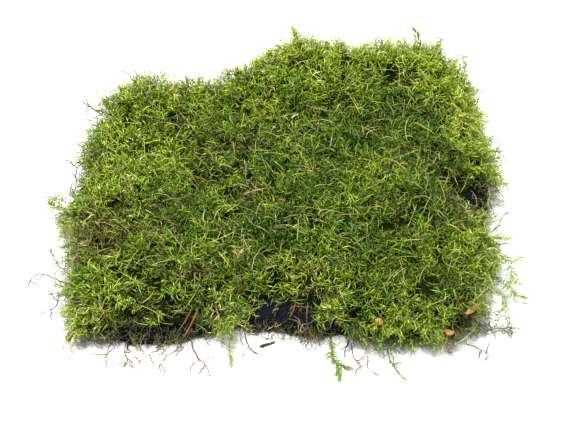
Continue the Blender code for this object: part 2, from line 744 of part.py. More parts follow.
def make_debris(carrier, neighbours):
    """Fallen pine needles and bits of leaf, caught in the tufts."""
    needles = [  # the end that lies on the moss, and the free end over the front edge
        ("front_left_a", (-50, -96), (-64, -113, 11)),
        ("front_left_b", (-54, -99), (-65, -109, 17)),
        ("hollow", (10, -88), (5, -108, 27)),
        ("front_right", (101, -113), (106, -122, 4)),
        ("left", (-114, -97), (-108, -107, 26)),
    ]
    for name, held_end, free_end in needles:
        start = neighbours.on_top(*held_end)
        route = [start.lerp(Vector(free_end), step / 4) for step in range(5)]
        bm = sweep(route, [0.6] * 5, 5)
        neighbours.free_it(bm, (0, -1, 0.6))
        neighbours.add(bm)
        add_piece(f"pine_needle_{name}", bm, "needle_orange", carrier, smooth=True)
    leaf_scrap("leaf_scrap_front", 60, -112, 6.5, 5.5, 1.2, 0.5, carrier, neighbours)
    leaf_scrap("leaf_scrap_right", 120, -101, 14.0, 4.0, 1.6, 0.75, carrier, neighbours)
    leaf_scrap("leaf_scrap_corner", 104, -114, 6.0, 4.0, 1.0, -0.4, carrier, neighbours)
    leaf_scrap("leaf_scrap_middle", -28, -58, 7.5, 4.0, 0.8, 0.1, carrier, neighbours)
    leaf_scrap("leaf_scrap_left", -137, -104, 7.0, 4.0, 1.4, 1.2, carrier, neighbours)


def main():
    clear_scene()
    carrier = bpy.data.objects.new("clump", None)
    carrier.location = Vector(CLUMP_PLACE) * MM
    bpy.context.collection.objects.link(carrier)
    neighbours = Neighbours()
    neighbours.add_piece(make_soil_pad(carrier))
    neighbours.add_piece(make_moss_carpet(carrier))
    make_shoots(carrier, neighbours)
    make_ground_bits(carrier, neighbours)
    make_dead_stems(carrier, neighbours)
    make_rootlets(carrier, neighbours)
    make_debris(carrier, neighbours)


main()
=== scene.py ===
import heapq
import json
import math

import bpy
import numpy as np
from mathutils import Matrix, Vector, noise
from mathutils.bvhtree import BVHTree
from mathutils.kdtree import KDTree

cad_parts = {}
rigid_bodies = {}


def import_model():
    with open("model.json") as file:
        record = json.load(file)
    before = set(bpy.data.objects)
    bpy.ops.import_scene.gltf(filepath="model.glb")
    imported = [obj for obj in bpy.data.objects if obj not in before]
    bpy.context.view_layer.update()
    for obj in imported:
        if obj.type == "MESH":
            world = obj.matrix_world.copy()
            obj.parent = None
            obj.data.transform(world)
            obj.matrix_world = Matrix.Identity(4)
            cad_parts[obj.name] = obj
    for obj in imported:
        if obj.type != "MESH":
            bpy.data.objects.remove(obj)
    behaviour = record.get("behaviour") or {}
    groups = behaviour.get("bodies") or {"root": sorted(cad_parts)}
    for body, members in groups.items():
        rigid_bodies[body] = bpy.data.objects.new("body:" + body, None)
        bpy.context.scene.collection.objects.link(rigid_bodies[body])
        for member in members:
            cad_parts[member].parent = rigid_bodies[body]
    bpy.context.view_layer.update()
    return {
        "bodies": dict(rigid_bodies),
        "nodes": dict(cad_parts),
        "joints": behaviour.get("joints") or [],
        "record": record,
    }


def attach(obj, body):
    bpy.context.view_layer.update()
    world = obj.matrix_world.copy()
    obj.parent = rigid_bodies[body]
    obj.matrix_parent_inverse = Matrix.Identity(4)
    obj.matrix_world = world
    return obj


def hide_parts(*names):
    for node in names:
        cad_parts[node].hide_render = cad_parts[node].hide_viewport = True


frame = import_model()
nodes = frame["nodes"]
mm = 0.001
matMiddle = (2.0, 1.2)  # in mm; the places in the lists below are given from here
leastHeight = 0.1 * mm  # no leaf, strand or crumb comes nearer to the ground
down, upwards = Vector((0, 0, -1)), np.array([[0, 0, 1.0]])
print("frame loaded,", len(nodes), "nodes")


# small tools

def deselectAll():
    bpy.ops.object.select_all(action="DESELECT")


def takeUp(piece):
    deselectAll()
    piece.select_set(True)
    bpy.context.view_layer.objects.active = piece


def applyModifier(piece, kind, **values):
    takeUp(piece)
    modifier = piece.modifiers.new(kind.lower(), kind)
    for name, value in values.items():
        setattr(modifier, name, value)
    bpy.ops.object.modifier_apply(modifier=modifier.name)


def nodeCopy(nodeName, pieceName):
    # a CAD node's mesh as a piece of its own, its loose triangles merged
    piece = bpy.data.objects.new(pieceName, nodes[nodeName].data.copy())
    piece.data.name = pieceName
    piece.data.materials.clear()
    bpy.context.collection.objects.link(piece)
    takeUp(piece)
    bpy.ops.object.mode_set(mode="EDIT")
    bpy.ops.mesh.select_all(action="SELECT")
    bpy.ops.mesh.remove_doubles(threshold=0.01 * mm)
    bpy.ops.object.mode_set(mode="OBJECT")
    return piece


def smoothCopy(nodeName, pieceName, form):
    # a CAD node in small even faces, smoothed
    piece = nodeCopy(nodeName, pieceName)
    applyModifier(piece, "REMESH", mode="VOXEL", voxel_size=form["voxel"] * mm)
    applyModifier(piece, "SMOOTH", **form["smooth"])
    return piece


def readBack(items, name, width=3, kind=float):
    # one property of all items of a mesh as rows of an array
    values = np.empty(len(items) * width, kind)
    items.foreach_get(name, values)
    return values.reshape(-1, width)


def pointsOf(piece):
    return readBack(piece.data.vertices, "co")


def normalsOf(piece):
    return readBack(piece.data.vertex_normals, "vector")


def putPoints(piece, points):
    piece.data.vertices.foreach_set("co", np.ascontiguousarray(points, float).ravel())
    piece.data.update()
    piece.data.shade_smooth()


def noiseAt(points, size, seed=0.0):
    # smooth noise from -1 to 1 at each point, with lumps of the given size
    shift = Vector((seed, -seed, 2 * seed))
    return np.array([noise.noise(Vector(point) / size + shift) for point in points])


def roughened(points, normals, depth, lumps, seed):
    # the points moved out and in by up to the depth, both in mm
    return points + normals * depth * noiseAt(points, lumps * mm, seed)[:, None] * mm


def keptOff(points, least=leastHeight):
    # the points, none of them lower than this
    points[..., 2] = np.maximum(points[..., 2], least)
    return points


def unit(vectors):
    return vectors / np.maximum(np.linalg.norm(vectors, axis=-1, keepdims=True), 1e-9)


def turnedOut(aim, ways, least):
    # the directions, each turned out of the surface that it starts on
    inward = np.sum(aim * ways, axis=1, keepdims=True)
    return unit(aim + ways * np.clip(least - inward, 0, None))


def finishPiece(piece, material, slot, *replaced):
    piece.data.materials.clear()
    piece.data.materials.append(material)
    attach(piece, "root")
    if replaced:
        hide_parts(*replaced)
    print("   ", piece.name, len(piece.data.polygons), "faces")
    return piece


def treeOf(piece):
    faces = [face.vertices[:] for face in piece.data.polygons]
    return BVHTree.FromPolygons([vertex.co for vertex in piece.data.vertices], faces)


# materials

def newMaterial(name, roughness, specular):
    material = bpy.data.materials.new(name)
    material.use_nodes = True
    shader = material.node_tree.nodes["Principled BSDF"]
    shader.inputs["Roughness"].default_value = roughness
    shader.inputs["Specular IOR Level"].default_value = specular
    return material, material.node_tree, shader


def addNode(tree, kind, inputs, **settings):
    # inputs: by name or number, each a socket to link or a value to set; gives back the node's outputs
    node = tree.nodes.new(kind)
    for name, value in settings.items():
        setattr(node, name, value)
    for name, value in inputs.items():
        if isinstance(value, bpy.types.NodeSocket):
            tree.links.new(value, node.inputs[name])
        else:
            node.inputs[name].default_value = value
    return node.outputs


def colourRamp(tree, stops, factor):
    # a ramp through (place, (r, g, b)) stops
    ramp = tree.nodes.new("ShaderNodeValToRGB")
    elements = ramp.color_ramp.elements
    while len(elements) < len(stops):
        elements.new(0.5)
    for element, (place, colour) in zip(elements, stops):
        element.position = place
        element.color = (*colour, 1.0)
    tree.links.new(factor, ramp.inputs["Fac"])
    return ramp.outputs["Color"]


def greyRamp(tree, stops, factor):
    return colourRamp(tree, [(place, (value, value, value)) for place, value in stops], factor)


def mixColours(tree, first, second, factor, blend="MIX"):
    inputs = {0: factor, 6: first, 7: second}
    return addNode(tree, "ShaderNodeMix", inputs, data_type="RGBA", blend_type=blend)[2]


def newGroup(name, vector, values, results):
    # a node group: a vector and some values go in, other values come out
    group = bpy.data.node_groups.new(name, "ShaderNodeTree")
    group.interface.new_socket(vector, in_out="INPUT", socket_type="NodeSocketVector")
    for socketName, value in values.items():
        socket = group.interface.new_socket(socketName, in_out="INPUT", socket_type="NodeSocketFloat")
        socket.default_value = value
    for socketName in results:
        group.interface.new_socket(socketName, in_out="OUTPUT", socket_type="NodeSocketFloat")
    return group, group.nodes.new("NodeGroupInput").outputs


def makeGrowthTones():
    # from a strand's own UV map: how green it is across, and from root to tip its level of painted shade, dark at
    # the root deep in the mat, and its pale tip, partly its age and partly a painted highlight
    group, given = newGroup("growthTones", "UV", {}, ("Tint", "Depth", "Tip"))
    place = addNode(group, "ShaderNodeSeparateXYZ", {0: given["UV"]})
    addNode(group, "NodeGroupOutput", {
        "Tint": place["X"],
        "Depth": greyRamp(group, [(0.0, 0.05), (0.3, 0.22), (0.6, 0.66), (0.85, 1.0)], place["Y"]),
        "Tip": greyRamp(group, [(0.62, 0.0), (1.0, 1.0)], place["Y"]),
    })
    return group


def makeMottle():
    # patches and specks over a surface, from its Object coordinates
    group, given = newGroup(
        "mottle", "Vector", {"Patch Scale": 60.0, "Speck Scale": 700.0, "Stretch": 1.0},
        ("Patches", "Specks", "Height"),
    )
    patches = addNode(group, "ShaderNodeTexNoise", {
        "Vector": given["Vector"], "Scale": given["Patch Scale"], "Detail": 4.0, "Roughness": 0.62,
    })["Fac"]
    squeeze = addNode(group, "ShaderNodeCombineXYZ", {0: 1.0, 1: 1.0, 2: given["Stretch"]})[0]
    grain = addNode(group, "ShaderNodeVectorMath", {0: given["Vector"], 1: squeeze}, operation="MULTIPLY")[0]
    specks = addNode(group, "ShaderNodeTexNoise", {
        "Vector": grain, "Scale": given["Speck Scale"], "Detail": 3.0, "Roughness": 0.7,
    })["Fac"]
    height = addNode(group, "ShaderNodeMath", {0: patches, 1: 0.5, 2: specks}, operation="MULTIPLY_ADD")[0]
    addNode(group, "NodeGroupOutput", {"Patches": patches, "Specks": specks, "Height": height})
    return group


growthTones = makeGrowthTones()
mottle = makeMottle()


def strandMaterial(name, look):
    # a strand's colour comes from its UV map: u picks the tint, v runs from its root to its tip, darkened by
    # painted shade towards the root and paled towards the tip
    rough = look["roughness"]
    material, tree, shader = newMaterial(name, rough, look["specular"])
    place = addNode(tree, "ShaderNodeUVMap", {}, uv_map="OFBake")["UV"]
    tones = addNode(tree, "ShaderNodeGroup", {"UV": place}, node_tree=growthTones)
    tint = colourRamp(tree, look["tints"], tones["Tint"])
    share = greyRamp(tree, look["tipShares"], tones["Tint"])
    share = addNode(tree, "ShaderNodeMath", {0: tones["Tip"], 1: share}, operation="MULTIPLY")[0]
    tipped = mixColours(tree, tint, (*look["tip"], 1.0), share)
    # painted shade: the colour is multiplied darker towards the root, where shade falls deep in the mat
    shade = colourRamp(tree, look["paintedShades"], tones["Depth"])
    tree.links.new(mixColours(tree, tipped, shade, 1.0, "MULTIPLY"), shader.inputs["Base Color"])
    gloss = greyRamp(tree, [(0.0, min(1.0, rough + 0.2)), (0.8, rough)], tones["Depth"])
    tree.links.new(gloss, shader.inputs["Roughness"])
    return material


def mottledMaterial(name, colours, scales, stretch, speckle, bump, roughness, specular):
    # scales: of the patches and the specks; speckle: how dark the specks are; bump: strength, depth in mm
    material, tree, shader = newMaterial(name, roughness, specular)
    place = addNode(tree, "ShaderNodeTexCoord", {})["Object"]
    tones = addNode(tree, "ShaderNodeGroup", {
        "Vector": place, "Patch Scale": scales[0], "Speck Scale": scales[1], "Stretch": stretch,
    }, node_tree=mottle)
    base = colourRamp(tree, colours, tones["Patches"])
    specks = greyRamp(tree, [(0.3, 1.0 - speckle), (0.7, 1.0)], tones["Specks"])
    tree.links.new(mixColours(tree, base, specks, 1.0, "MULTIPLY"), shader.inputs["Base Color"])
    gloss = greyRamp(tree, [(0.3, min(1.0, roughness + 0.12)), (0.7, roughness - 0.08)], tones["Specks"])
    tree.links.new(gloss, shader.inputs["Roughness"])
    relief = addNode(tree, "ShaderNodeBump", {
        "Strength": bump[0], "Distance": bump[1] * mm, "Height": tones["Height"],
    })
    tree.links.new(relief["Normal"], shader.inputs["Normal"])
    return material


mossLeaf = strandMaterial("moss leaf", {
    "tints": [
        (0.0, (0.60, 0.62, 0.030)),  # the youngest, yellow green, by turns fresh and pale
        (0.08, (0.49, 0.55, 0.060)),
        (0.16, (0.42, 0.52, 0.006)),
        (0.24, (0.37, 0.48, 0.045)),
        (0.32, (0.27, 0.41, 0.004)),
        (0.40, (0.25, 0.37, 0.030)),
        (0.50, (0.12, 0.28, 0.005)),  # deep green
        (0.68, (0.25, 0.225, 0.030)),  # olive, fading
        (0.84, (0.135, 0.092, 0.026)),  # brown and dead
        (1.0, (0.60, 0.52, 0.23)),  # bleached straw
    ],
    # the pale tip: partly the paler young growth, partly a painted highlight
    "tip": (0.97, 0.97, 0.60),
    "tipShares": [
        (0.0, 0.35), (0.08, 0.75), (0.16, 0.12), (0.24, 0.75), (0.32, 0.12), (0.40, 0.65), (0.50, 0.15),
        (0.68, 0.2), (0.9, 0.1), (1.0, 0.4),
    ],
    # painted shade: colours that darken a leaf towards its root, deep in the mat
    "paintedShades": [(0.0, (0.02, 0.042, 0.004)), (0.35, (0.20, 0.275, 0.040)), (1.0, (1.0, 1.0, 1.0))],
    "roughness": 0.22, "specular": 0.44,
})
deadStrand = strandMaterial("dead moss strand", {
    "tints": [
        (0.0, (0.30, 0.27, 0.085)), (0.35, (0.17, 0.115, 0.05)),
        (0.65, (0.075, 0.048, 0.030)), (1.0, (0.36, 0.27, 0.17)),
    ],
    "tip": (0.36, 0.27, 0.14), "tipShares": [(0.0, 0.3), (1.0, 0.3)],
    # painted shade: a colour that darkens a dead strand towards its root
    "paintedShades": [(0.0, (0.04, 0.04, 0.03)), (1.0, (1.0, 1.0, 1.0))],
    "roughness": 0.7, "specular": 0.3,
})
# the felt of old stems: its near black green is partly its own dark colour and partly painted shade of the deep mat
feltWithPaintedShade = mottledMaterial(
    "moss felt with painted shade",
    [(0.3, (0.0015, 0.004, 0.0008)), (0.5, (0.006, 0.012, 0.0015)), (0.7, (0.022, 0.026, 0.005))],
    scales=(70.0, 900.0), stretch=1.0, speckle=0.7, bump=(1.0, 1.5), roughness=0.9, specular=0.0,
)
# dark humus: its near black navy is partly the soil's own dark colour and partly painted shade of the hollow under
# the mat
humusWithPaintedShade = mottledMaterial(
    "humus",
    [(0.3, (0.0006, 0.0012, 0.0034)), (0.5, (0.0018, 0.0028, 0.0068)), (0.68, (0.011, 0.010, 0.012)),
     (0.82, (0.055, 0.045, 0.040))],
    scales=(420.0, 1300.0), stretch=1.0, speckle=0.75, bump=(1.0, 1.2), roughness=0.9, specular=0.12,
)
litterMaterial = mottledMaterial(
    "brown litter",
    [(0.3, (0.004, 0.003, 0.003)), (0.5, (0.020, 0.012, 0.009)), (0.72, (0.085, 0.052, 0.036))],
    scales=(260.0, 1500.0), stretch=1.0, speckle=0.5, bump=(0.8, 0.4), roughness=0.85, specular=0.2,
)
deadStemMaterial = mottledMaterial(
    "dead stem",
    [(0.3, (0.034, 0.020, 0.011)), (0.5, (0.105, 0.064, 0.032)), (0.7, (0.23, 0.155, 0.080))],
    scales=(130.0, 1500.0), stretch=0.6, speckle=0.5, bump=(0.8, 0.25), roughness=0.75, specular=0.3,
)
rootMaterial = mottledMaterial(
    "tan root",
    [(0.3, (0.055, 0.040, 0.026)), (0.5, (0.16, 0.120, 0.075)), (0.7, (0.33, 0.26, 0.16))],
    scales=(160.0, 1500.0), stretch=0.7, speckle=0.4, bump=(0.7, 0.25), roughness=0.7, specular=0.35,
)
barkMaterial = mottledMaterial(
    "dark bark",
    [(0.3, (0.008, 0.007, 0.007)), (0.55, (0.026, 0.020, 0.017)), (0.75, (0.08, 0.062, 0.05))],
    scales=(220.0, 1300.0), stretch=0.5, speckle=0.6, bump=(1.0, 0.4), roughness=0.82, specular=0.3,
)
needleMaterial = mottledMaterial(
    "fallen pine needle",
    [(0.3, (0.075, 0.030, 0.008)), (0.5, (0.17, 0.072, 0.016)), (0.7, (0.31, 0.16, 0.038))],
    scales=(150.0, 1800.0), stretch=0.4, speckle=0.3, bump=(0.4, 0.1), roughness=0.5, specular=0.45,
)
dryLeafMaterial = mottledMaterial(
    "dry leaf",
    [(0.3, (0.09, 0.040, 0.008)), (0.5, (0.22, 0.105, 0.016)), (0.72, (0.40, 0.24, 0.045))],
    scales=(300.0, 1600.0), stretch=1.0, speckle=0.35, bump=(0.6, 0.2), roughness=0.62, specular=0.35,
)
print("materials made")


# one strand, modelled once: a leaf, a bare stem or a root thread, along +Z from the origin

sideTint = 0.004  # how far a strand's tint moves along its ramp from one of its sides to the other


def makeStrand(name, length, width, rings, bend, sides=3):
    # rings: (share of the length, width there against the widest)
    deselectAll()
    bpy.ops.mesh.primitive_cone_add(
        vertices=sides, radius1=width / 2, radius2=0.0, depth=length, location=(0, 0, length / 2)
    )
    strand = bpy.context.object
    strand.name = name
    bpy.ops.object.transform_apply(location=True, rotation=True, scale=True)
    bpy.ops.object.mode_set(mode="EDIT")
    for share, _ in rings[1:]:
        bpy.ops.mesh.select_all(action="SELECT")
        bpy.ops.mesh.bisect(plane_co=(0, 0, length * share), plane_no=(0, 0, 1))
    for share, wide in rings:
        bpy.ops.mesh.select_all(action="DESELECT")
        bpy.ops.object.mode_set(mode="OBJECT")
        for vertex in strand.data.vertices:
            vertex.select = abs(vertex.co.z - length * share) < length * 0.002
        bpy.ops.object.mode_set(mode="EDIT")
        now = 1 - share
        bpy.ops.transform.resize(value=(wide / now, wide / now, 1), center_override=(0, 0, length * share))
    bpy.ops.mesh.select_all(action="SELECT")
    bpy.ops.mesh.remove_doubles(threshold=width / 100)
    bpy.ops.mesh.quads_convert_to_tris()
    bpy.ops.object.mode_set(mode="OBJECT")
    mesh = strand.data
    uv = mesh.uv_layers.get("OFBake") or mesh.uv_layers.new(name="OFBake")
    for face in mesh.polygons:
        middle = math.atan2(face.center.y, face.center.x)
        for corner in face.loop_indices:
            place = mesh.vertices[mesh.loops[corner].vertex_index].co
            across = sideTint / 2
            if place.to_2d().length > width * 0.01:
                turn = (math.atan2(place.y, place.x) - middle + math.pi) % math.tau - math.pi
                across = sideTint if turn > 0.1 else 0.0 if turn < -0.1 else sideTint / 2
            uv.data[corner].uv = (across, place.z / length)
    if bend:
        applyModifier(strand, "SIMPLE_DEFORM", deform_method="BEND", deform_axis="X", angle=math.radians(bend))
    shape = readShape(strand)
    bpy.data.objects.remove(strand)
    return shape


def readShape(piece):
    # a mesh of triangles as arrays, to copy
    mesh = piece.data
    uv = np.zeros((len(mesh.loops), 2))
    if "OFBake" in mesh.uv_layers:
        uv = readBack(mesh.uv_layers["OFBake"].data, "uv", 2)
    faces = readBack(mesh.polygons, "vertices", 3, np.int32)
    return {"points": pointsOf(piece), "faces": faces, "uv": uv.reshape(-1, 3, 2)}


def joinShapes(shapes):
    counts = np.cumsum([0] + [len(shape["points"]) for shape in shapes[:-1]]).tolist()
    faces = [shape["faces"] + count for shape, count in zip(shapes, counts)]
    joined = {key: np.concatenate([shape[key] for shape in shapes]) for key in ("points", "uv")}
    return {**joined, "faces": np.concatenate(faces)}


def movedUv(shape, fromV, toV, tint):
    # its run from root to tip becomes part of a longer run, and its tint moves along the ramp
    return np.stack([shape["uv"][..., 0] + tint, fromV + (toV - fromV) * shape["uv"][..., 1]], axis=-1)


def placedShape(shape, matrix, fromV, toV, tint):
    turn = np.array(matrix.to_3x3())
    return {
        "points": shape["points"] @ turn.T + np.array(matrix.translation),
        "faces": shape["faces"], "uv": movedUv(shape, fromV, toV, tint),
    }


def smoothRoute(points, count):
    # points along one smooth curve through the given ones
    points = np.asarray(points, float)
    ends = np.concatenate([2 * points[:1] - points[1:2], points, 2 * points[-1:] - points[-2:-1]])
    along = np.linspace(0, len(points) - 1, count)
    index = np.minimum(along.astype(int), len(points) - 2)
    t = (along - index)[:, None]
    a, b, c, d = (ends[index + step] for step in range(4))
    return (2 * b + (c - a) * t + (2 * a - 5 * b + 4 * c - d) * t**2 + (3 * b - a - 3 * c + d) * t**3) / 2


def readAlong(values, shares):
    # a row of values read at shares of its length
    along = np.clip(shares, 0, 1) * (len(values) - 1)
    index = np.minimum(along.astype(int), len(values) - 2)
    part = along - index
    part = part[:, None] if values.ndim == 2 else part
    return values[index] * (1 - part) + values[index + 1] * part


def routeFrames(route):
    # at each point of a route two sides square to its run that don't twist, and the run
    runs = unit(np.gradient(route, axis=0))
    sides = np.empty_like(runs)
    side = np.cross(runs[0], (0.3, 0.7, 0.6))
    for index, run in enumerate(runs):
        side = unit(side - run * side.dot(run))
        sides[index] = side
    return sides, np.cross(runs, sides), runs


def laidAlong(shape, route, fromV=0.0, toV=1.0, tint=0.0, widths=(1.0, 1.0)):
    # a strand laid along a route, with widths along it
    points = shape["points"]
    shares = points[:, 2] / points[:, 2].max()
    sides, others, _ = routeFrames(route)
    across = points[:, :2] * readAlong(np.asarray(widths, float), shares)[:, None]
    spots = readAlong(route, shares) + across[:, :1] * readAlong(sides, shares)
    return {
        "points": spots + across[:, 1:2] * readAlong(others, shares),
        "faces": shape["faces"], "uv": movedUv(shape, fromV, toV, tint),
    }


def joinedPiece(name, shape, mapped=True):
    # the object of a joined shape, which keeps its UV map where its material reads it
    mesh = bpy.data.meshes.new(name)
    points, faces = shape["points"], shape["faces"]
    mesh.vertices.add(len(points))
    mesh.vertices.foreach_set("co", points.ravel())
    mesh.loops.add(faces.size)
    mesh.loops.foreach_set("vertex_index", faces.ravel())
    mesh.polygons.add(len(faces))
    mesh.polygons.foreach_set("loop_start", np.arange(0, faces.size, 3, dtype=np.int32))
    mesh.update(calc_edges=True)
    if mapped:
        uv = mesh.uv_layers.new(name="OFBake")
        uv.data.foreach_set("uv", np.clip(shape["uv"], 0.0, 1.0).ravel())
    mesh.shade_smooth()
    piece = bpy.data.objects.new(name, mesh)
    bpy.context.collection.objects.link(piece)
    return piece


def addPiece(name, shape, material, slot, *replaced, mapped=True):
    keptOff(shape["points"])
    return finishPiece(joinedPiece(name, shape, mapped), material, slot, *replaced)


# the moss shoots, eight kinds and two denser ones

leafForm = {
    "rings": [(0.0, 0.0), (0.28, 1.0), (0.64, 0.72)],  # a leaf is widest before its middle
    "shortRings": [(0.0, 0.0), (0.42, 1.0)],
    "kinds": [(6.5, 0.74, 60), (9.5, 0.67, 110), (12.0, 0.64, 150), (7.5, 0.73, -80)],  # length, width, bend
    "shortTo": 8.0,  # mm, a leaf up to this long has the fewer rings
    "sizes": (0.75, 1.2),
    "light": (0.26, 1.0),  # how light one leaf of a shoot is against another
    "hue": (0.0, 0.12),
    "run": (0.45, 0.55),  # the shares of the run of painted shade, from dark to light, on the stem and on a leaf
    "roll": 110,  # how far a leaf is turned round its own run, either way
    "stray": (0.03, 12, 25),  # how far it strays along the stem, in its spread and round the stem
}
# the stem: its rings, its width in mm, and how far it runs up the painted shade
stemForm = {"rings": [(0.0, 1.0), (0.45, 0.85)], "width": 0.65, "light": (0.6, 0.72)}
shootForm = {
    "kinds": [
        # stem length, leaves, share of the stem where they begin, spread low and at the tip, leaf kinds
        (12.0, 9, 0.45, (88, 56), (0, 1, 1)),
        (12.5, 9, 0.55, (92, 62), (1, 2)),
        (11.0, 10, 0.60, (98, 70), (1, 1, 2)),
        (14.0, 9, 0.35, (80, 46), (0, 1, 3)),
        (11.5, 9, 0.50, (88, 60), (2, 1, 3)),
        (15.0, 8, 0.35, (74, 34), (0, 3)),
        (12.5, 9, 0.50, (84, 50), (1, 0, 2)),
        (10.0, 10, 0.60, (100, 76), (2, 2, 1)),
    ],
    "freshKinds": [  # of the dense young tufts
        (13.0, 15, 0.35, (62, 12), (0, 0, 1)),
        (11.5, 14, 0.45, (70, 15), (0, 1)),
    ],
    "goldenTurn": 137.5,
}


def leafyShape(stem, route, leaves, leavesFrom, spreads, kinds, sizes, draw, tint=0.0, foot=0.0):
    # a stem along a route, with leaves that turn round it, wide apart low down and close at the tip
    # foot: how far up their run of painted shade, from dark to light, the lowest leaves begin
    dark, light = stemForm["light"]
    shapes = [laidAlong(stem, route, dark * foot, light, tint)]
    along, aside, around = leafForm["stray"]
    steps = np.arange(leaves) / (leaves - 1)
    shares = leavesFrom + (1 - leavesFrom) * steps**0.8 + draw.uniform(-along, along, leaves)
    shares = np.clip(shares, 0.0, 0.97)
    low, tip = spreads
    spreadOf = np.radians(low + (tip - low) * steps + draw.uniform(-aside, aside, leaves))
    turns = np.radians(shootForm["goldenTurn"] * np.arange(leaves) + draw.uniform(-around, around, leaves))
    scales = readAlong(np.asarray(sizes, float), shares) * draw.uniform(*leafForm["sizes"], leaves)
    dimmest, lightest = leafForm["light"]
    lights = draw.uniform(dimmest + 0.6 * foot, lightest, leaves)
    hues = tint + draw.uniform(*leafForm["hue"], leaves)
    rolls = np.radians(leafForm["roll"] * draw.uniform(-1, 1, leaves))
    stemRun, leafRun = leafForm["run"]
    spots = readAlong(route, shares)
    sides, others, runs = (readAlong(values, shares) for values in routeFrames(route))
    for index, share in enumerate(shares):
        frame = Matrix.Identity(4)
        for column, vector in enumerate((sides[index], others[index], runs[index], spots[index])):
            frame.col[column].xyz = vector
        place = frame @ Matrix.Rotation(turns[index], 4, "Z") @ Matrix.Rotation(spreadOf[index], 4, "X")
        leaf = leafShapes[kinds[index % len(kinds)]]
        place = place @ Matrix.Rotation(rolls[index], 4, "Z") @ Matrix.Scale(scales[index], 4)
        fromV = foot + (stemRun - foot) * share
        shapes.append(placedShape(leaf, place, fromV, (fromV + leafRun) * lights[index], hues[index]))
    return joinShapes(shapes)


def makeShootKind(stemLength, leaves, leavesFrom, spreads, kinds, draw):
    stem = makeStrand("stem", stemLength * mm, stemForm["width"] * mm, stemForm["rings"], 0)
    route = np.array([(0, 0, 0), (0, 0, stemLength / 2), (0, 0, stemLength)]) * mm
    return leafyShape(stem, route, leaves, leavesFrom, spreads, kinds, (1.0, 1.0), draw)


leafShapes = [
    makeStrand(
        "leaf", length * mm, width * mm, leafForm["shortRings" if length < leafForm["shortTo"] else "rings"], bend
    )
    for length, width, bend in leafForm["kinds"]
]
protoDraw = np.random.default_rng(4)
shootKinds = [makeShootKind(*kind, protoDraw) for kind in shootForm["kinds"]]
freshKinds = [makeShootKind(*kind, protoDraw) for kind in shootForm["freshKinds"]]
print("shoot kinds made,", [len(kind["faces"]) for kind in shootKinds + freshKinds])


# the felt of old stems under the shoots

feltForm = {
    "voxel": 3.8,
    "smooth": {"factor": 0.6, "iterations": 12},
    "depth": 5.5,  # how far it lies under the carpet's surface
    "soilReach": (1.5, 5.5),  # it stays where it is near the soil, and sinks fully from the second value on
    "lump": 1.3,
    "lumpSize": 8.0,
    "pitDepth": 11.0,
    "pits": [  # where the moss is open down to the dark: x, y, reach, how open
        (128, 0, 17, 1.4), (136, -16, 9, 0.6), (110, 4, 7, 0.5), (-66, -104, 10, 0.7), (-58, -112, 9, 0.7),
        (-138, 2, 8, 0.7), (86, 79, 7, 0.6), (2, -100, 14, 0.6), (-97, -113, 13, 0.9), (-79, -115, 12, 0.9),
        (-118, -115, 9, 0.6), (-16, -11, 6, 0.5), (26, -112, 9, 0.5), (-46, -33, 7, 0.5), (60, 10, 6, 0.4),
        (98, 2, 6, 0.4), (38, -68, 6, 0.4), (-102, -54, 7, 0.6), (-42, -112, 8, 0.5), (-114, -44, 8, 0.5),
    ],
}
soilTree = treeOf(nodes["soil_pad"])
carpetTree = treeOf(nodes["moss_carpet"])


def patchValue(patches, places):
    # the patches' amounts at each place, each fading out round its middle
    value = np.zeros(len(places))
    for x, y, reach, amount in patches:
        away = (places[:, 0] / mm - matMiddle[0] - x) ** 2 + (places[:, 1] / mm - matMiddle[1] - y) ** 2
        value += amount * np.exp(-away / reach**2)
    return value


def makeFelt():
    piece = smoothCopy("moss_carpet", "moss_felt", feltForm)
    near, far = feltForm["soilReach"]
    points, normals = pointsOf(piece), normalsOf(piece)
    away = np.array([soilTree.find_nearest(Vector(point))[3] for point in points]) / mm
    share = np.clip((away - near) / (far - near), 0, 1)
    lump = feltForm["lump"] * noiseAt(points, feltForm["lumpSize"] * mm)
    moved = points + normals * (share * (lump - feltForm["depth"]))[:, None] * mm
    sunk = feltForm["pitDepth"] * np.clip(patchValue(feltForm["pits"], points), 0, 1)
    moved[:, 2] -= sunk * share * np.clip(normals[:, 2], 0, 1) * mm
    putPoints(piece, moved)
    return finishPiece(piece, feltWithPaintedShade, "moss", "moss_carpet")


felt = makeFelt()
feltTree = treeOf(felt)
print("felt made")


# where shoots stand

def strewnPlaces(piece, spacing, draw):
    # evenly strewn places on a piece, no two nearer than the spacing, with the smooth normal there
    piece.data.calc_loop_triangles()
    corners = readBack(piece.data.loop_triangles, "vertices", 3, np.int32)
    points, normals = pointsOf(piece), normalsOf(piece)
    a, b, c = (points[corners[:, index]] for index in range(3))
    area = np.linalg.norm(np.cross(b - a, c - a), axis=1) / 2
    count = int(area.sum() / spacing**2 * 3.0)
    picked = draw.choice(len(area), count, p=area / area.sum())
    first, second = draw.random(count), draw.random(count)
    fold = first + second > 1
    first[fold], second[fold] = 1 - first[fold], 1 - second[fold]
    shares = np.stack([1 - first - second, first, second], axis=1)[..., None]
    places = (points[corners[picked]] * shares).sum(axis=1)
    ways = unit((normals[corners[picked]] * shares).sum(axis=1))
    taken, kept = {}, []
    cells = np.floor(places / spacing).astype(int)
    for index, (cx, cy, cz) in enumerate(cells.tolist()):
        around = [
            other for dx in (-1, 0, 1) for dy in (-1, 0, 1) for dz in (-1, 0, 1)
            for other in taken.get((cx + dx, cy + dy, cz + dz), ())
        ]
        if around and np.min(np.sum((places[around] - places[index]) ** 2, axis=1)) < spacing**2:
            continue
        taken.setdefault((cx, cy, cz), []).append(index)
        kept.append(index)
    return places[kept], ways[kept]


soilGap = 4.0  # mm, a place that faces the soil from nearer by lies in its recess


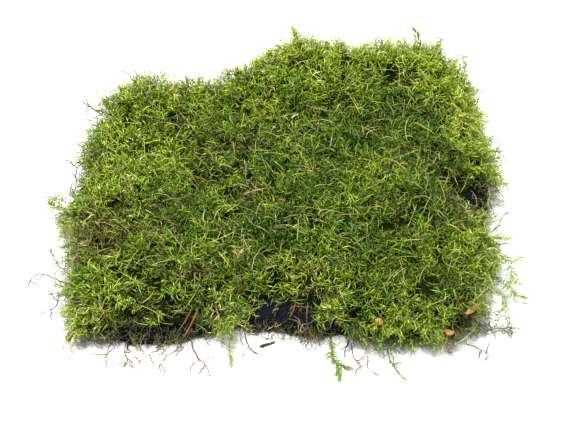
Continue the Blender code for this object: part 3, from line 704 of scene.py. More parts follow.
def clearOfSoil(places, ways):
    # true where a place isn't in the recess round the soil, or under the mat
    clear = []
    for place, way in zip(places, ways):
        spot, _, _, away = soilTree.find_nearest(Vector(place))
        faces = away < soilGap * mm and (spot - Vector(place)).dot(Vector(way)) > 0
        clear.append(not faces and way[2] > -0.35)
    return np.array(clear)


def plantShoots(kinds, kindOf, places, ways, bendWays, spins, sizes, bends, tints, paintedLight, feet):
    # one joined shape: a copy of a shoot at each place, along its way, bowed towards its bend way
    # feet: how far up the run of painted shade, from dark to light, the shoots begin; their painted light scales
    # that run
    shapes = []
    for number, kind in enumerate(kinds):
        mine = np.nonzero(kindOf == number)[0]
        if not len(mine):
            continue
        points = kind["points"]
        tall = points[:, 2].max()
        cosine, sine = np.cos(spins[mine])[:, None], np.sin(spins[mine])[:, None]
        x = points[:, 0] * cosine - points[:, 1] * sine
        y = points[:, 0] * sine + points[:, 1] * cosine
        z = np.broadcast_to(points[:, 2], x.shape)
        reach = tall / np.maximum(bends[mine], 0.02)[:, None]  # radius of the bow
        turn = z / reach
        bowed = np.stack([reach - (reach - x) * np.cos(turn), y, (reach - x) * np.sin(turn)], axis=2)
        bowed *= sizes[mine][:, None, None]
        up = unit(ways[mine])
        side = unit(bendWays[mine] - up * np.sum(bendWays[mine] * up, axis=1, keepdims=True))
        other = np.cross(up, side)
        frames = np.stack([side, other, up], axis=1)
        placed = np.einsum("nvk,nkd->nvd", bowed, frames) + places[mine][:, None, :]
        faces = kind["faces"][None] + (np.arange(len(mine)) * len(points))[:, None, None]
        uv = np.repeat(kind["uv"][None], len(mine), axis=0)
        uv[..., 0] += np.clip(tints[mine], 0.0, 0.995)[:, None, None]
        foot = feet[mine][:, None, None]
        uv[..., 1] = (foot + (1 - foot) * uv[..., 1]) * paintedLight[mine][:, None, None]
        shapes.append({
            "points": placed.reshape(-1, 3), "faces": faces.reshape(-1, 3), "uv": uv.reshape(-1, 3, 2),
        })
    return joinShapes(shapes)


def anyPosture(form, count, draw):
    # how each is spun, how large it is and how far it bows, by chance
    spins = draw.uniform(0, math.tau, count)
    return spins, draw.uniform(*form["sizes"], count), draw.uniform(*form["bends"], count)


carpetForm = {
    "spacing": 2.52,
    "sink": 2.0,
    "thin": (13.0, 0.25, 1.7, 0.40),  # thin spots: their size, where they begin, how fast and how far they thin
    "mostThin": (0.8, 0.98),  # the largest share of shoots left out, in a shallow pit and in a deep one
    "pitThin": (0.5, 0.9),  # how much a pit thins them, and how open it is where they end
    "tuftSpacing": 11.0,
    "tuftReach": 0.6,  # of the spacing, from the middle of a tuft to its edge
    "tuftHeight": (1.12, 0.34),  # of a shoot in the middle of its tuft, and how much it loses at the edge
    "sizes": (0.82, 1.15),
    "shorter": (0.12, 0.4),  # near the ground, and in a pit
    "bends": (0.1, 1.5),
    "bow": (0.6, -0.35, 0.9),  # where to: out of their tuft, up, and by chance
    # which way the shoots stand
    "outward": 0.5,
    "upward": 0.32,
    "backRise": 0.9,  # how much more upright the shoots of the back slope stand
    "lean": 0.5,
    "stray": 0.38,
    "least": 0.25,  # how far they point out of the mat at least
    "comb": 0.34,
    "combSize": 22.0,
    "ground": (14.0, 12.0),  # mm, how high the ground's effect begins, and over how much it grows to the full
    # their tints, along the ramp of the moss leaf, and their painted light and shade
    "tint": 0.25,
    "tintLumps": [(0.12, 30.0, 7.0), (0.16, 12.0, 8.0)],  # how much, how large, seed
    "tintChance": 0.07,
    "deepest": 0.50,  # the tint of the deepest green
    "dead": (0.04, 0.35, 0.3, 0.25),  # everywhere, near the ground, in a pit, in lumps
    "deadLumps": (16.0, 9.0, 0.1),  # their size, seed, and where they begin
    "deadTints": (0.58, 0.84),
    "strawTints": (0.92, 1.0),
    "straws": 0.035,
    "light": (0.93, 0.08),
    "paintedShadeLoss": (0.8, 0.14, 0.45, 0.6),  # how much their light drops: with deeper tints, and as painted shade at a tuft's edge, low in front and in a pit
    "lights": (0.52, 1.0),
    "foot": (0.12, 0.26),  # how light the shoots are at their foot, where painted shade falls, and how much more on the sides, painted lighter
    "middle": (1.25, 0.22),  # how much wider than deep the middle piece is, and its share of the shoots
}
# the mat's own regions: x, y, reach, and what is added to the tint: younger below zero, deeper above
tintPatches = [
    (-102, 67, 32, -0.13), (-110, 27, 24, -0.12), (14, 112, 24, -0.07), (66, 107, 26, -0.10), (132, 57, 20, -0.15),
    (140, 27, 14, -0.12), (74, -102, 24, -0.12), (102, -62, 20, -0.10), (56, -78, 16, -0.09), (12, -74, 14, -0.12),
    (-108, -78, 18, -0.13), (-112, -109, 15, -0.13), (-88, -94, 12, -0.09), (-138, -22, 14, -0.12),
    (-60, 98, 28, -0.17), (-14, 112, 24, -0.19), (36, 116, 28, -0.16), (92, 110, 28, -0.15), (130, 84, 20, -0.16),
    (28, -96, 14, -0.14), (48, 37, 30, 0.15), (26, -1, 26, 0.12), (6, -33, 24, 0.17), (-14, -50, 16, 0.15),
    (18, -50, 15, 0.13), (64, -41, 18, 0.08), (92, 57, 16, 0.08), (-42, 32, 26, 0.10), (-62, -28, 24, 0.08),
]
deadPatches = [  # x, y, reach, share of faded and dead shoots there
    (-112, -32, 26, 0.42), (-110, -66, 14, 0.35), (-78, -46, 14, 0.30), (-64, -92, 14, 0.50), (-134, -66, 12, 0.45),
    (100, -26, 14, 0.20), (20, -88, 12, 0.40), (-40, 38, 22, 0.48), (-22, -9, 18, 0.36), (-54, 14, 15, 0.36),
    (-80, 48, 10, 0.30), (-120, -50, 14, 0.40), (-138, 10, 11, 0.55), (118, -31, 13, 0.55), (134, -35, 12, 0.55),
    (122, -111, 14, 0.55), (108, -100, 9, 0.35), (-26, -77, 11, 0.45), (-52, -69, 10, 0.30), (6, -94, 18, 0.55),
    (24, -110, 12, 0.55), (126, -14, 12, 0.35), (128, -98, 11, 0.30), (-84, -61, 11, 0.35), (-72, -100, 12, 0.35),
    (86, 79, 9, 0.30), (-92, -115, 20, 0.45), (-46, -38, 14, 0.30),
]
paintedLightPatches = [  # painted light and shade by region: x, y, reach, and what is added to the shoots' light there
    (-90, -20, 15, -0.14), (-67, -22, 15, -0.28), (-20, -25, 16, -0.10), (26, -32, 17, 0.12), (26, -54, 16, 0.10),
    (-42, -46, 13, 0.08), (96, -46, 17, -0.24), (-86, -70, 14, -0.18), (-42, -68, 13, -0.12), (48, -76, 16, -0.20),
    (-19, -86, 11, 0.12), (26, -90, 10, 0.20), (98, -22, 15, -0.08), (-112, 8, 16, 0.04), (50, 112, 30, 0.06),
    (120, 92, 22, 0.10), (99, -75, 17, -0.20), (74, -75, 17, -0.16), (50, -76, 15, -0.14), (26, -74, 14, -0.10),
    (75, -97, 14, -0.22), (100, -98, 14, -0.10), (28, -97, 11, 0.12), (98, 26, 17, -0.20), (74, 72, 18, -0.10),
    (-20, 86, 16, 0.20), (-20, -108, 12, -0.25), (4, -106, 12, -0.20), (51, -50, 15, -0.14), (98, -50, 15, -0.12),
    (-92, -48, 14, 0.14), (-115, -50, 14, 0.08), (124, -106, 13, -0.25), (50, 35, 20, -0.06), (74, 26, 17, -0.16),
    (98, 1, 15, -0.14), (74, 1, 15, -0.10), (-92, 55, 18, -0.12), (-44, -71, 14, -0.12), (-92, -72, 13, -0.14),
    (-68, -98, 12, -0.15), (92, 57, 16, -0.10), (-114, 30, 16, -0.04), (-92, 55, 12, 0.05), (26, -96, 10, 0.14),
    (-92, -50, 12, 0.10), (102, -108, 12, 0.12), (74, -112, 10, 0.10), (124, 52, 16, 0.06), (-20, 88, 12, 0.14),
]


def makeCarpet():
    draw = np.random.default_rng(12)
    places, ways = strewnPlaces(felt, carpetForm["spacing"] * mm, draw)
    clear = clearOfSoil(places, ways)
    places, ways = places[clear], ways[clear]
    size, start, rate, most = carpetForm["thin"]
    thinned = np.clip((noiseAt(places, size * mm, 5.0) - start) * rate, 0, most)
    opened = patchValue(feltForm["pits"], places)
    inPit, bareFrom = carpetForm["pitThin"]
    thinned = thinned + inPit * opened + np.clip(opened - bareFrom, 0, 1)
    shallow, deep = carpetForm["mostThin"]
    most = shallow + (deep - shallow) * np.clip(2 * opened - 1, 0, 1)
    kept = draw.random(len(places)) > np.clip(thinned, 0, most)
    places, ways = places[kept], ways[kept]
    count = len(places)
    centres, _ = strewnPlaces(felt, carpetForm["tuftSpacing"] * mm, draw)
    tufts = KDTree(len(centres))
    for index, centre in enumerate(centres):
        tufts.insert(centre, index)
    tufts.balance()
    nearest = [tufts.find(place) for place in places]
    tuftOf = np.array([found[1] for found in nearest])
    fromTuft = places - centres[tuftOf]
    apart = np.linalg.norm(fromTuft, axis=1) / (carpetForm["tuftSpacing"] * carpetForm["tuftReach"] * mm)
    chance = draw.normal(size=(count, 3))
    comb = np.stack([noiseAt(places, carpetForm["combSize"] * mm, seed) for seed in (1.0, 2.0, 3.0)], axis=1)
    begin, grow = carpetForm["ground"]
    low = np.clip((begin * mm - places[:, 2]) / (grow * mm), 0, 1)[:, None]
    atBack = np.clip(1.6 * ways[:, 1:2] - 0.1, 0, 1)
    rise = carpetForm["upward"] * (1 - 1.6 * low) + carpetForm["backRise"] * atBack
    aim = carpetForm["outward"] * ways * (1 - 0.5 * atBack) + rise * upwards
    aim += carpetForm["lean"] * unit(fromTuft) * np.clip(apart, 0, 1)[:, None]
    aim += carpetForm["stray"] * chance + carpetForm["comb"] * comb * 2
    aim = turnedOut(unit(aim), ways, carpetForm["least"])
    low, pit, rim = low[:, 0], np.clip(patchValue(feltForm["pits"], places), 0, 1), np.clip(apart, 0, 1.2) ** 2
    tall, loss = carpetForm["tuftHeight"]
    sizes = (tall - loss * rim) * draw.uniform(*carpetForm["sizes"], count)
    lowLoss, pitLoss = carpetForm["shorter"]
    sizes *= (1 - lowLoss * low) * (1 - pitLoss * pit)
    tuftTint = draw.normal(0, carpetForm["tintChance"], len(centres))
    tints = carpetForm["tint"]
    for amount, size, seed in carpetForm["tintLumps"]:
        tints = tints + amount * noiseAt(places, size * mm, seed)
    region = patchValue(tintPatches, places)
    tints = tints + tuftTint[tuftOf] + draw.normal(0, carpetForm["tintChance"], count) + region
    tints = np.clip(tints, 0.0, carpetForm["deepest"])
    everywhere, lowShare, pitShare, lumpShare = carpetForm["dead"]
    dead = everywhere + patchValue(deadPatches, places) + lowShare * low + pitShare * pit
    size, seed, start = carpetForm["deadLumps"]
    dead += lumpShare * np.clip(noiseAt(places, size * mm, seed) - start, 0, 1)
    fading = draw.random(count)
    tints = np.where(fading < dead, draw.uniform(*carpetForm["deadTints"], count), tints)
    tints = np.where(fading > 1 - carpetForm["straws"], draw.uniform(*carpetForm["strawTints"], count), tints)
    # painted light and shade: each shoot's light drops at its tuft's edge, low in front and in a pit, and rises and
    # falls by region
    ofRegion, ofRim, inFront, inPit = carpetForm["paintedShadeLoss"]
    light = draw.normal(*carpetForm["light"], count) - ofRegion * region + patchValue(paintedLightPatches, places)
    light -= ofRim * rim
    light -= inFront * low * np.clip(-1.5 * ways[:, 1], 0, 1)
    paintedLight = np.clip(light, *carpetForm["lights"]) * (1 - inPit * pit)
    apartBow, upBow, chanceBow = carpetForm["bow"]
    bendWays = apartBow * unit(fromTuft) + upBow * upwards + chanceBow * draw.normal(size=(count, 3))
    foot, sideFoot = carpetForm["foot"]
    values = {
        "kindOf": draw.integers(0, len(shootKinds), count), "places": places - ways * carpetForm["sink"] * mm,
        "ways": aim, "bendWays": bendWays, "spins": draw.uniform(0, math.tau, count), "sizes": sizes,
        "bends": draw.uniform(*carpetForm["bends"], count), "tints": tints, "paintedLight": paintedLight,
        "feet": foot + sideFoot * np.clip(1.6 - 2.2 * ways[:, 2], 0, 1) * (ways[:, 1] > -0.45),
    }
    offset = places[:, :2] - np.array(matMiddle) * mm
    wider, share = carpetForm["middle"]
    away = np.hypot(offset[:, 0] / wider, offset[:, 1])
    inner = away < np.quantile(away, share)
    parts = {
        "moss_middle": inner,
        "moss_back_left": ~inner & (offset[:, 0] < 0) & (offset[:, 1] >= 0),
        "moss_back_right": ~inner & (offset[:, 0] >= 0) & (offset[:, 1] >= 0),
        "moss_front_left": ~inner & (offset[:, 0] < 0) & (offset[:, 1] < 0),
        "moss_front_right": ~inner & (offset[:, 0] >= 0) & (offset[:, 1] < 0),
    }
    print("   ", count, "shoots")
    for name, mine in parts.items():
        shape = plantShoots(shootKinds, **{key: value[mine] for key, value in values.items()})
        addPiece(name, shape, mossLeaf, "moss", "moss_carpet")


makeCarpet()
print("carpet planted")


# soil

soilForm = {"voxel": 3.6, "lump": 1.2, "lumpSize": 6.0, "flatTo": 0.6}


def makeSoil():
    piece = nodeCopy("soil_pad", "soil_humus")
    applyModifier(piece, "REMESH", mode="VOXEL", voxel_size=soilForm["voxel"] * mm)
    points, normals = pointsOf(piece), normalsOf(piece)
    size = soilForm["lumpSize"] * mm
    lump = noiseAt(points, size, 3.0) + 0.5 * noiseAt(points, size / 2.4, 4.0)
    lump = np.where(points[:, 2] < soilForm["flatTo"] * mm, 0.0, soilForm["lump"] * lump)
    putPoints(piece, keptOff(points + normals * lump[:, None] * mm, 0.0))
    return finishPiece(piece, humusWithPaintedShade, "soil", "soil_pad")


soil = makeSoil()
print("soil made")


# crumbs of soil, modelled three times and strewn on its sides and on its open top

crumbForm = {
    "spacing": 2.2,
    "size": (0.4, 1.8),
    "shape": (1.0, 0.8, 0.65),
    "rough": 0.42,
    "brown": (0.16, 0.8),  # the share of brown ones on the soil and in the pits
}


def makeCrumbKind(seed):
    deselectAll()
    bpy.ops.mesh.primitive_ico_sphere_add(subdivisions=1, radius=1.0)
    crumb = bpy.context.object
    points = pointsOf(crumb)
    dents = 1 + crumbForm["rough"] * 2 * noiseAt(points, 0.9, seed)
    putPoints(crumb, points * dents[:, None] * np.array(crumbForm["shape"]))
    shape = readShape(crumb)
    bpy.data.objects.remove(crumb)
    return shape


def openSoil(places, ways):
    # true where the moss doesn't cover the soil
    covered = [
        carpetTree.ray_cast(Vector(place) + Vector(way) * 0.1 * mm, Vector(way), 2.5 * mm)[0] is not None
        for place, way in zip(places, ways)
    ]
    return ~np.array(covered) & (ways[:, 2] > -0.3) & (places[:, 2] > 0.8 * mm)


def makeCrumbs():
    draw = np.random.default_rng(31)
    kinds = [makeCrumbKind(seed) for seed in (1.3, 4.7, 8.1)]
    places, ways = strewnPlaces(soil, crumbForm["spacing"] * mm, draw)
    pitPlaces, pitWays = strewnPlaces(felt, crumbForm["spacing"] * 0.8 * mm, draw)
    shown = patchValue(feltForm["pits"], pitPlaces) > draw.uniform(0.25, 0.75, len(pitPlaces))
    bare = openSoil(places, ways)
    shown &= clearOfSoil(pitPlaces, pitWays)
    places = np.concatenate([places[bare], pitPlaces[shown]])
    ways = np.concatenate([ways[bare], pitWays[shown]])
    brown = draw.random(len(places)) < np.where(np.arange(len(places)) < bare.sum(), *crumbForm["brown"])
    low, high = crumbForm["size"]
    for name, mine, material in (("soil_crumbs", ~brown, humusWithPaintedShade), ("soil_litter", brown, litterMaterial)):
        count = mine.sum()
        shape = plantShoots(
            kinds, draw.integers(0, len(kinds), count), places[mine], ways[mine], draw.normal(size=(count, 3)),
            draw.uniform(0, math.tau, count), (low + (high - low) * draw.random(count) ** 2) * mm,
            np.zeros(count), np.zeros(count), np.ones(count), np.zeros(count),
        )
        addPiece(name, shape, material, "soil", mapped=False)


makeCrumbs()
print("crumbs strewn")


# dead strands down the sides, straws on top and root threads under the edge

fringeForm = {
    "kinds": [(15.0, 0.42), (10.0, 0.38), (20.0, 0.36)],  # length, width
    "rings": [(0.0, 1.0), (0.3, 0.95), (0.6, 0.7), (0.82, 0.45)],
    "spacing": 2.7,
    "steep": 0.62,  # they start where the felt's way is less upright than this
    "thinning": (1.25, 26),  # how thick they grow at the ground, and the mm over which that falls by one
    "sink": 1.0,
    "outward": 0.75,
    "stray": 0.55,
    "fall": (-0.85, 0.25),
    "least": 0.3,  # how far they point out of the felt at least
    "droop": 0.5,
    "sizes": (0.6, 1.15),
    "bends": (0.3, 2.3),
    "tint": (0.42, 0.24),
    "pale": (0.12, 0.86, 0.99),  # the share of pale ones, and their tints from and to
    "lights": (0.75, 1.0),
    "foot": 0.3,
}


def plainKinds(name, forms, rings):
    return [makeStrand(name, length * mm, width * mm, rings, 0) for length, width in forms]


def makeFringe():
    draw = np.random.default_rng(41)
    kinds = plainKinds("fringe", fringeForm["kinds"], fringeForm["rings"])
    places, ways = strewnPlaces(felt, fringeForm["spacing"] * mm, draw)
    side = (np.abs(ways[:, 2]) < fringeForm["steep"]) & clearOfSoil(places, ways)
    thick, over = fringeForm["thinning"]
    side &= draw.random(len(places)) < np.clip(thick - places[:, 2] / mm / over, 0.0, 1.0)
    places, ways = places[side], ways[side]
    count = len(places)
    fall = draw.uniform(*fringeForm["fall"], (count, 1))
    stray = fringeForm["stray"] * draw.normal(size=(count, 3))
    aim = unit(fringeForm["outward"] * ways + stray + fall * upwards)
    aim = turnedOut(aim, ways, fringeForm["least"])
    tints = np.clip(draw.normal(*fringeForm["tint"], count), 0.0, 0.995)
    share, *paleTints = fringeForm["pale"]
    pale = draw.random(count) < share
    tints[pale] = draw.uniform(*paleTints, pale.sum())
    shape = plantShoots(
        kinds, draw.integers(0, len(kinds), count), places - ways * fringeForm["sink"] * mm, aim,
        draw.normal(size=(count, 3)) - fringeForm["droop"] * upwards, *anyPosture(fringeForm, count, draw), tints,
        draw.uniform(*fringeForm["lights"], count), np.full(count, fringeForm["foot"]),
    )
    addPiece("dead_fringe", shape, deadStrand, "dead_stems")


strawForm = {
    "kinds": [(16.0, 0.42), (25.0, 0.40), (12.0, 0.38)],  # length, width
    "spacing": 5.0,
    "count": 760,
    "upright": 0.35,  # they lie where the felt's way is more upright than this
    "above": 16,  # mm, and higher than this
    "lift": (6.0, 10.5),  # mm over the felt
    "outward": 0.5,
    "flat": (1.0, 1.0, 0.25),  # how far they stray along each axis
    "least": 0.3,  # how far they point out of the felt at least
    "sizes": (0.6, 1.1),
    "bends": (0.5, 1.9),
    "bleached": (0.55, 0.92, 0.99),  # the share of bleached ones, and their tints from and to
    "young": (0.0, 0.2),  # the tints of the others
    "lights": (0.9, 1.0),
    "foot": 0.4,
}


def makeStraws():
    # pale thin strands that lie over the green
    draw = np.random.default_rng(43)
    kinds = plainKinds("straw", strawForm["kinds"], fringeForm["rings"])
    places, ways = strewnPlaces(felt, strawForm["spacing"] * mm, draw)
    top = np.nonzero((ways[:, 2] > strawForm["upright"]) & (places[:, 2] > strawForm["above"] * mm))[0]
    picked = draw.choice(top, min(strawForm["count"], len(top)), replace=False)
    places, ways = places[picked], ways[picked]
    count = len(places)
    aim = unit(strawForm["outward"] * ways + draw.normal(size=(count, 3)) * np.array([strawForm["flat"]]))
    aim = turnedOut(aim, ways, strawForm["least"])
    share, *bleached = strawForm["bleached"]
    pale = draw.random(count) < share
    tints = np.where(pale, draw.uniform(*bleached, count), draw.uniform(*strawForm["young"], count))
    shape = plantShoots(
        kinds, draw.integers(0, len(kinds), count),
        places + ways * draw.uniform(*strawForm["lift"], (count, 1)) * mm,
        aim, -ways + 0.5 * draw.normal(size=(count, 3)), *anyPosture(strawForm, count, draw), tints,
        draw.uniform(*strawForm["lights"], count), np.full(count, strawForm["foot"]),
    )
    addPiece("pale_straws", shape, mossLeaf, "moss")


def wanderingRoute(start, way, length, wander, fall, draw, count=10):
    # a root's way: it strays as it grows, sinks, and never goes under the ground
    heading, spots = unit(np.asarray(way, float)), [np.asarray(start, float)]
    for _ in range(count - 1):
        heading = unit(heading + wander * draw.normal(size=3) + np.array([0, 0, -fall]))
        spot = spots[-1] + heading * length / (count - 1)
        spot[2] = max(spot[2], 0.5 * mm)
        spots.append(spot)
    return smoothRoute(spots, 2 * count)


threadForm = {
    "rings": [(index / 10, 1.0 - 0.55 * index / 10) for index in range(10)],
    "widths": (0.32, 0.95),
    "lengths": (8, 26),
    "wander": 0.42,
    "stray": 0.9,
    "least": 0.4,  # how far they point out of their carrier at least
    "fall": (0.12, 0.25),  # from a side, and how much more from the top
    "lowest": 2,  # mm, where they start at the lowest
    "sink": 1.0,
    "carriers": [(soil, 3.0, 17.5), (felt, 3.7, 24.0)],  # what they grow from, their spacing, the highest start
    "patches": [  # x, y, reach, how thickly they hang there
        (-2, -104, 42, 1.0), (-84, -114, 52, 1.0), (148, -12, 26, 0.9), (-142, 12, 16, 0.5),
        (118, -108, 26, 0.5), (60, -114, 24, 0.4), (-138, -88, 30, 0.4),
    ],
    "brown": (0.6, 0.25, 0.7),  # the share of brown ones, and their tints from and to
    "pale": (0.85, 0.99),  # the tints of the others
}


def makeThreads():
    draw = np.random.default_rng(47)
    widths = np.linspace(*threadForm["widths"], 4)
    threads = plainKinds("thread", [(10, width) for width in widths], threadForm["rings"])
    share, *brown = threadForm["brown"]
    sideFall, topFall = threadForm["fall"]
    shapes = []
    for carrier, spacing, top in threadForm["carriers"]:
        places, ways = strewnPlaces(carrier, spacing * mm, draw)
        side = (places[:, 2] < top * mm) & (places[:, 2] > threadForm["lowest"] * mm)
        if carrier is felt:
            side &= (np.abs(ways[:, 2]) < 0.8) & clearOfSoil(places, ways)
        else:
            side &= openSoil(places, ways)
        side &= draw.random(len(places)) < patchValue(threadForm["patches"], places)
        for place, way in zip(places[side], ways[side]):
            heading = way + draw.normal(size=3) * threadForm["stray"]
            heading += way * max(0.0, threadForm["least"] - heading.dot(way))
            length = draw.uniform(*threadForm["lengths"]) * mm
            fall = sideFall + topFall * max(0.0, way[2])
            start = place - way * threadForm["sink"] * mm
            route = wanderingRoute(start, heading, length, threadForm["wander"], fall, draw)
            thread = threads[min(3, int(4 * draw.random() ** 1.4))]
            tint = draw.uniform(*(brown if draw.random() < share else threadForm["pale"]))
            shapes.append(laidAlong(thread, route, 0.35, 1.0, tint))
    print("   ", len(shapes), "threads")
    finishPiece(joinedPiece("root_threads", joinShapes(shapes)), deadStrand, "roots")


# dead moss shoots that hang from the edge over the soil, and long young ones that stand out of the mat

hangerForm = {
    "patches": [  # x, y, reach, how many, their tints from and to
        (20, -96, 9, 56, 0.60, 0.84), (2, -98, 26, 18, 0.60, 0.84), (-14, -98, 10, 12, 0.62, 0.86),
        (-74, -110, 30, 42, 0.58, 0.84), (-108, -112, 12, 22, 0.52, 0.84), (-46, -108, 12, 18, 0.4, 0.8),
        (62, -110, 9, 10, 0.2, 0.5), (80, -112, 8, 10, 0.2, 0.5), (122, -106, 12, 34, 0.58, 0.84),
        (150, -10, 12, 14, 0.55, 0.84), (-142, 8, 10, 10, 0.6, 0.84),
    ],
    "heights": (9.0, 24.0),
    "scatter": 0.6,  # of the reach
    "eye": 60,  # mm, from how far outside the mat their starts are looked for
    "sink": 1.5,
    "outward": (0.7, 0.5),  # along the surface's own way, and away from the middle
    "stray": (0.55, (1, 1, 0.5)),  # how far in all, and along each axis
    "lengths": (9.0, 22.0),
    "widths": (0.45, 0.7),
    "leafKinds": (0, 3),
    "leavesFrom": 0.1,
    "wander": 0.38,
    "fall": 0.30,
    "leaves": (7, 13),
    "spreads": (75, 30),
    "sizes": (0.42, 0.75),
}


def makeHangers():
    draw = np.random.default_rng(49)
    stems = plainKinds("hanging stem", [(10, width) for width in hangerForm["widths"]], threadForm["rings"])
    alongWay, away = hangerForm["outward"]
    stray, strayAxes = hangerForm["stray"]
    shapes = []
    for x, y, reach, count, greenest, deadest in hangerForm["patches"]:
        middle = Vector((matMiddle[0] + x, matMiddle[1] + y, 0)) * mm
        outward = Vector((x / 3, y, 0)).normalized() if abs(y) > abs(x) else Vector((x, y, 0)).normalized()
        for _ in range(count):
            aside = Vector((draw.normal(), draw.normal(), 0)) * reach * hangerForm["scatter"] * mm
            high = Vector((0, 0, draw.uniform(*hangerForm["heights"]) * mm))
            eye = middle + aside + high + outward * hangerForm["eye"] * mm
            found = [tree.ray_cast(eye, -outward) for tree in (feltTree, soilTree)]
            found = [hit for hit in found if hit[0] is not None]
            if not found:
                continue
            spot, way, _, _ = min(found, key=lambda hit: hit[3])
            heading = np.array(way * alongWay + outward * away)
            heading = heading + stray * draw.normal(size=3) * np.array(strayAxes)
            length = draw.uniform(*hangerForm["lengths"]) * mm
            start = np.array(spot - way * hangerForm["sink"] * mm)
            route = wanderingRoute(start, heading, length, hangerForm["wander"], hangerForm["fall"], draw, 8)
            leaves = int(draw.integers(*hangerForm["leaves"]))
            tint = draw.uniform(greenest, deadest)
            size = draw.uniform(*hangerForm["sizes"])
            shapes.append(leafyShape(
                stems[int(draw.integers(0, len(stems)))], route, leaves, hangerForm["leavesFrom"],
                hangerForm["spreads"], hangerForm["leafKinds"], (size, size * 0.8), draw, tint,
            ))
    print("   ", len(shapes), "hanging shoots")
    addPiece("moss_hanging_shoots", joinShapes(shapes), mossLeaf, "moss")


riserForm = {
    "patches": [  # x, y, reach, how many, where they grow to, their tints from and to
        (100, 106, 14, 30, (0.1, 0.3, 1.0), 0.0, 0.3), (76, 114, 14, 26, (0.0, 0.4, 1.0), 0.0, 0.3),
        (127, 82, 10, 24, (0.7, 0.2, 0.8), 0.0, 0.4), (112, 98, 8, 14, (0.4, 0.4, 0.9), 0.55, 0.8),
        (6, 112, 8, 34, (0.0, 0.3, 1.0), 0.0, 0.2), (20, 116, 14, 20, (0.1, 0.4, 1.0), 0.05, 0.3),
        (42, 116, 16, 28, (0.0, 0.5, 1.0), 0.0, 0.3), (-24, 106, 12, 22, (-0.1, 0.5, 1.0), 0.1, 0.4),
        (-58, 92, 18, 30, (0.0, 0.5, 1.0), 0.05, 0.4), (-98, 90, 14, 28, (-0.2, 0.4, 1.0), 0.0, 0.3),
        (-124, 74, 10, 18, (-0.7, 0.2, 0.8), 0.0, 0.4), (-138, 44, 16, 18, (-1.0, 0.0, 0.6), 0.1, 0.5),
        (-146, -20, 11, 16, (-1.0, 0.0, 0.5), 0.0, 0.35), (-142, -52, 12, 14, (-1.0, -0.1, 0.4), 0.05, 0.5),
        (-142, -84, 10, 12, (-1.0, -0.3, 0.3), 0.1, 0.5), (142, 40, 10, 14, (1.0, 0.1, 0.6), 0.0, 0.35),
        (150, 8, 10, 16, (1.0, 0.0, 0.5), 0.0, 0.3), (142, -48, 9, 14, (1.0, -0.1, 0.4), 0.0, 0.35),
        (138, -76, 10, 14, (1.0, -0.2, 0.3), 0.0, 0.4), (-33, -104, 5, 16, (0.1, -1.0, 0.1), 0.0, 0.2),
        (70, -108, 12, 10, (0.0, -1.0, 0.2), 0.1, 0.4), (-126, -104, 5, 20, (-0.6, -0.8, 0.1), 0.0, 0.12),
        (92, -110, 12, 12, (0.2, -1.0, 0.1), 0.0, 0.3), (126, -98, 8, 14, (0.9, -0.5, 0.1), 0.5, 0.8),
        (108, 100, 7, 26, (0.2, 0.4, 1.0), 0.05, 0.35), (124, 80, 7, 22, (0.5, 0.3, 0.9), 0.0, 0.3),
        (88, 112, 14, 26, (0.0, 0.4, 1.0), 0.0, 0.3), (117, 92, 11, 26, (0.4, 0.3, 1.0), 0.0, 0.35),
        (136, 62, 9, 18, (0.8, 0.1, 0.8), 0.0, 0.35), (62, 118, 10, 14, (0.1, 0.4, 1.0), 0.0, 0.25),
        (130, -30, 10, 12, (0.9, 0.0, 0.6), 0.0, 0.3),
    ],
    "scatter": 0.6,  # of the reach
    "eye": (90.0, 28.0),  # mm, where their starts are looked for from above, and where beside the mat
    "stray": 0.28,
    "outward": 0.2,
    "lengths": (9.0, 23.0),
    "width": 0.6,
    "leafKinds": (0, 3),
    "leavesFrom": 0.15,
    "wander": 0.20,
    "fall": (-0.05, 0.12),
    "leaves": (13, 22),
    "spreads": (44, 12),
    "sizes": (0.5, 0.78),
    "foot": 0.34,
}


def makeRisers():
    draw = np.random.default_rng(51)
    stem = makeStrand("young stem", 10 * mm, riserForm["width"] * mm, threadForm["rings"], 0)
    above, beside = riserForm["eye"]
    shapes = []
    for x, y, reach, count, growth, greenest, deadest in riserForm["patches"]:
        growth = np.asarray(growth)
        for _ in range(count):
            aside = draw.normal(size=2) * reach * riserForm["scatter"]
            eye = Vector((matMiddle[0] + x + aside[0], matMiddle[1] + y + aside[1], above)) * mm
            spot, way, _, _ = feltTree.ray_cast(eye, down)
            if spot is None:
                spot, way, _, _ = feltTree.find_nearest(eye + down * (above - beside) * mm)
            heading = unit(growth) + riserForm["stray"] * draw.normal(size=3) + riserForm["outward"] * np.array(way)
            length = draw.uniform(*riserForm["lengths"]) * mm
            fall = draw.uniform(*riserForm["fall"])
            route = wanderingRoute(np.array(spot), heading, length, riserForm["wander"], fall, draw, 8)
            leaves = int(draw.integers(*riserForm["leaves"]))
            size = draw.uniform(*riserForm["sizes"])
            tint = draw.uniform(greenest, deadest)
            shapes.append(leafyShape(
                stem, route, leaves, riserForm["leavesFrom"], riserForm["spreads"], riserForm["leafKinds"],
                (size, size * 1.1, size * 0.8), draw, tint, riserForm["foot"],
            ))
    print("   ", len(shapes), "standing shoots")
    addPiece("moss_standing_shoots", joinShapes(shapes), mossLeaf, "moss", "moss_carpet")


makeFringe()
makeStraws()
makeThreads()
makeHangers()
makeRisers()
print("strands laid")


# the dense young tufts

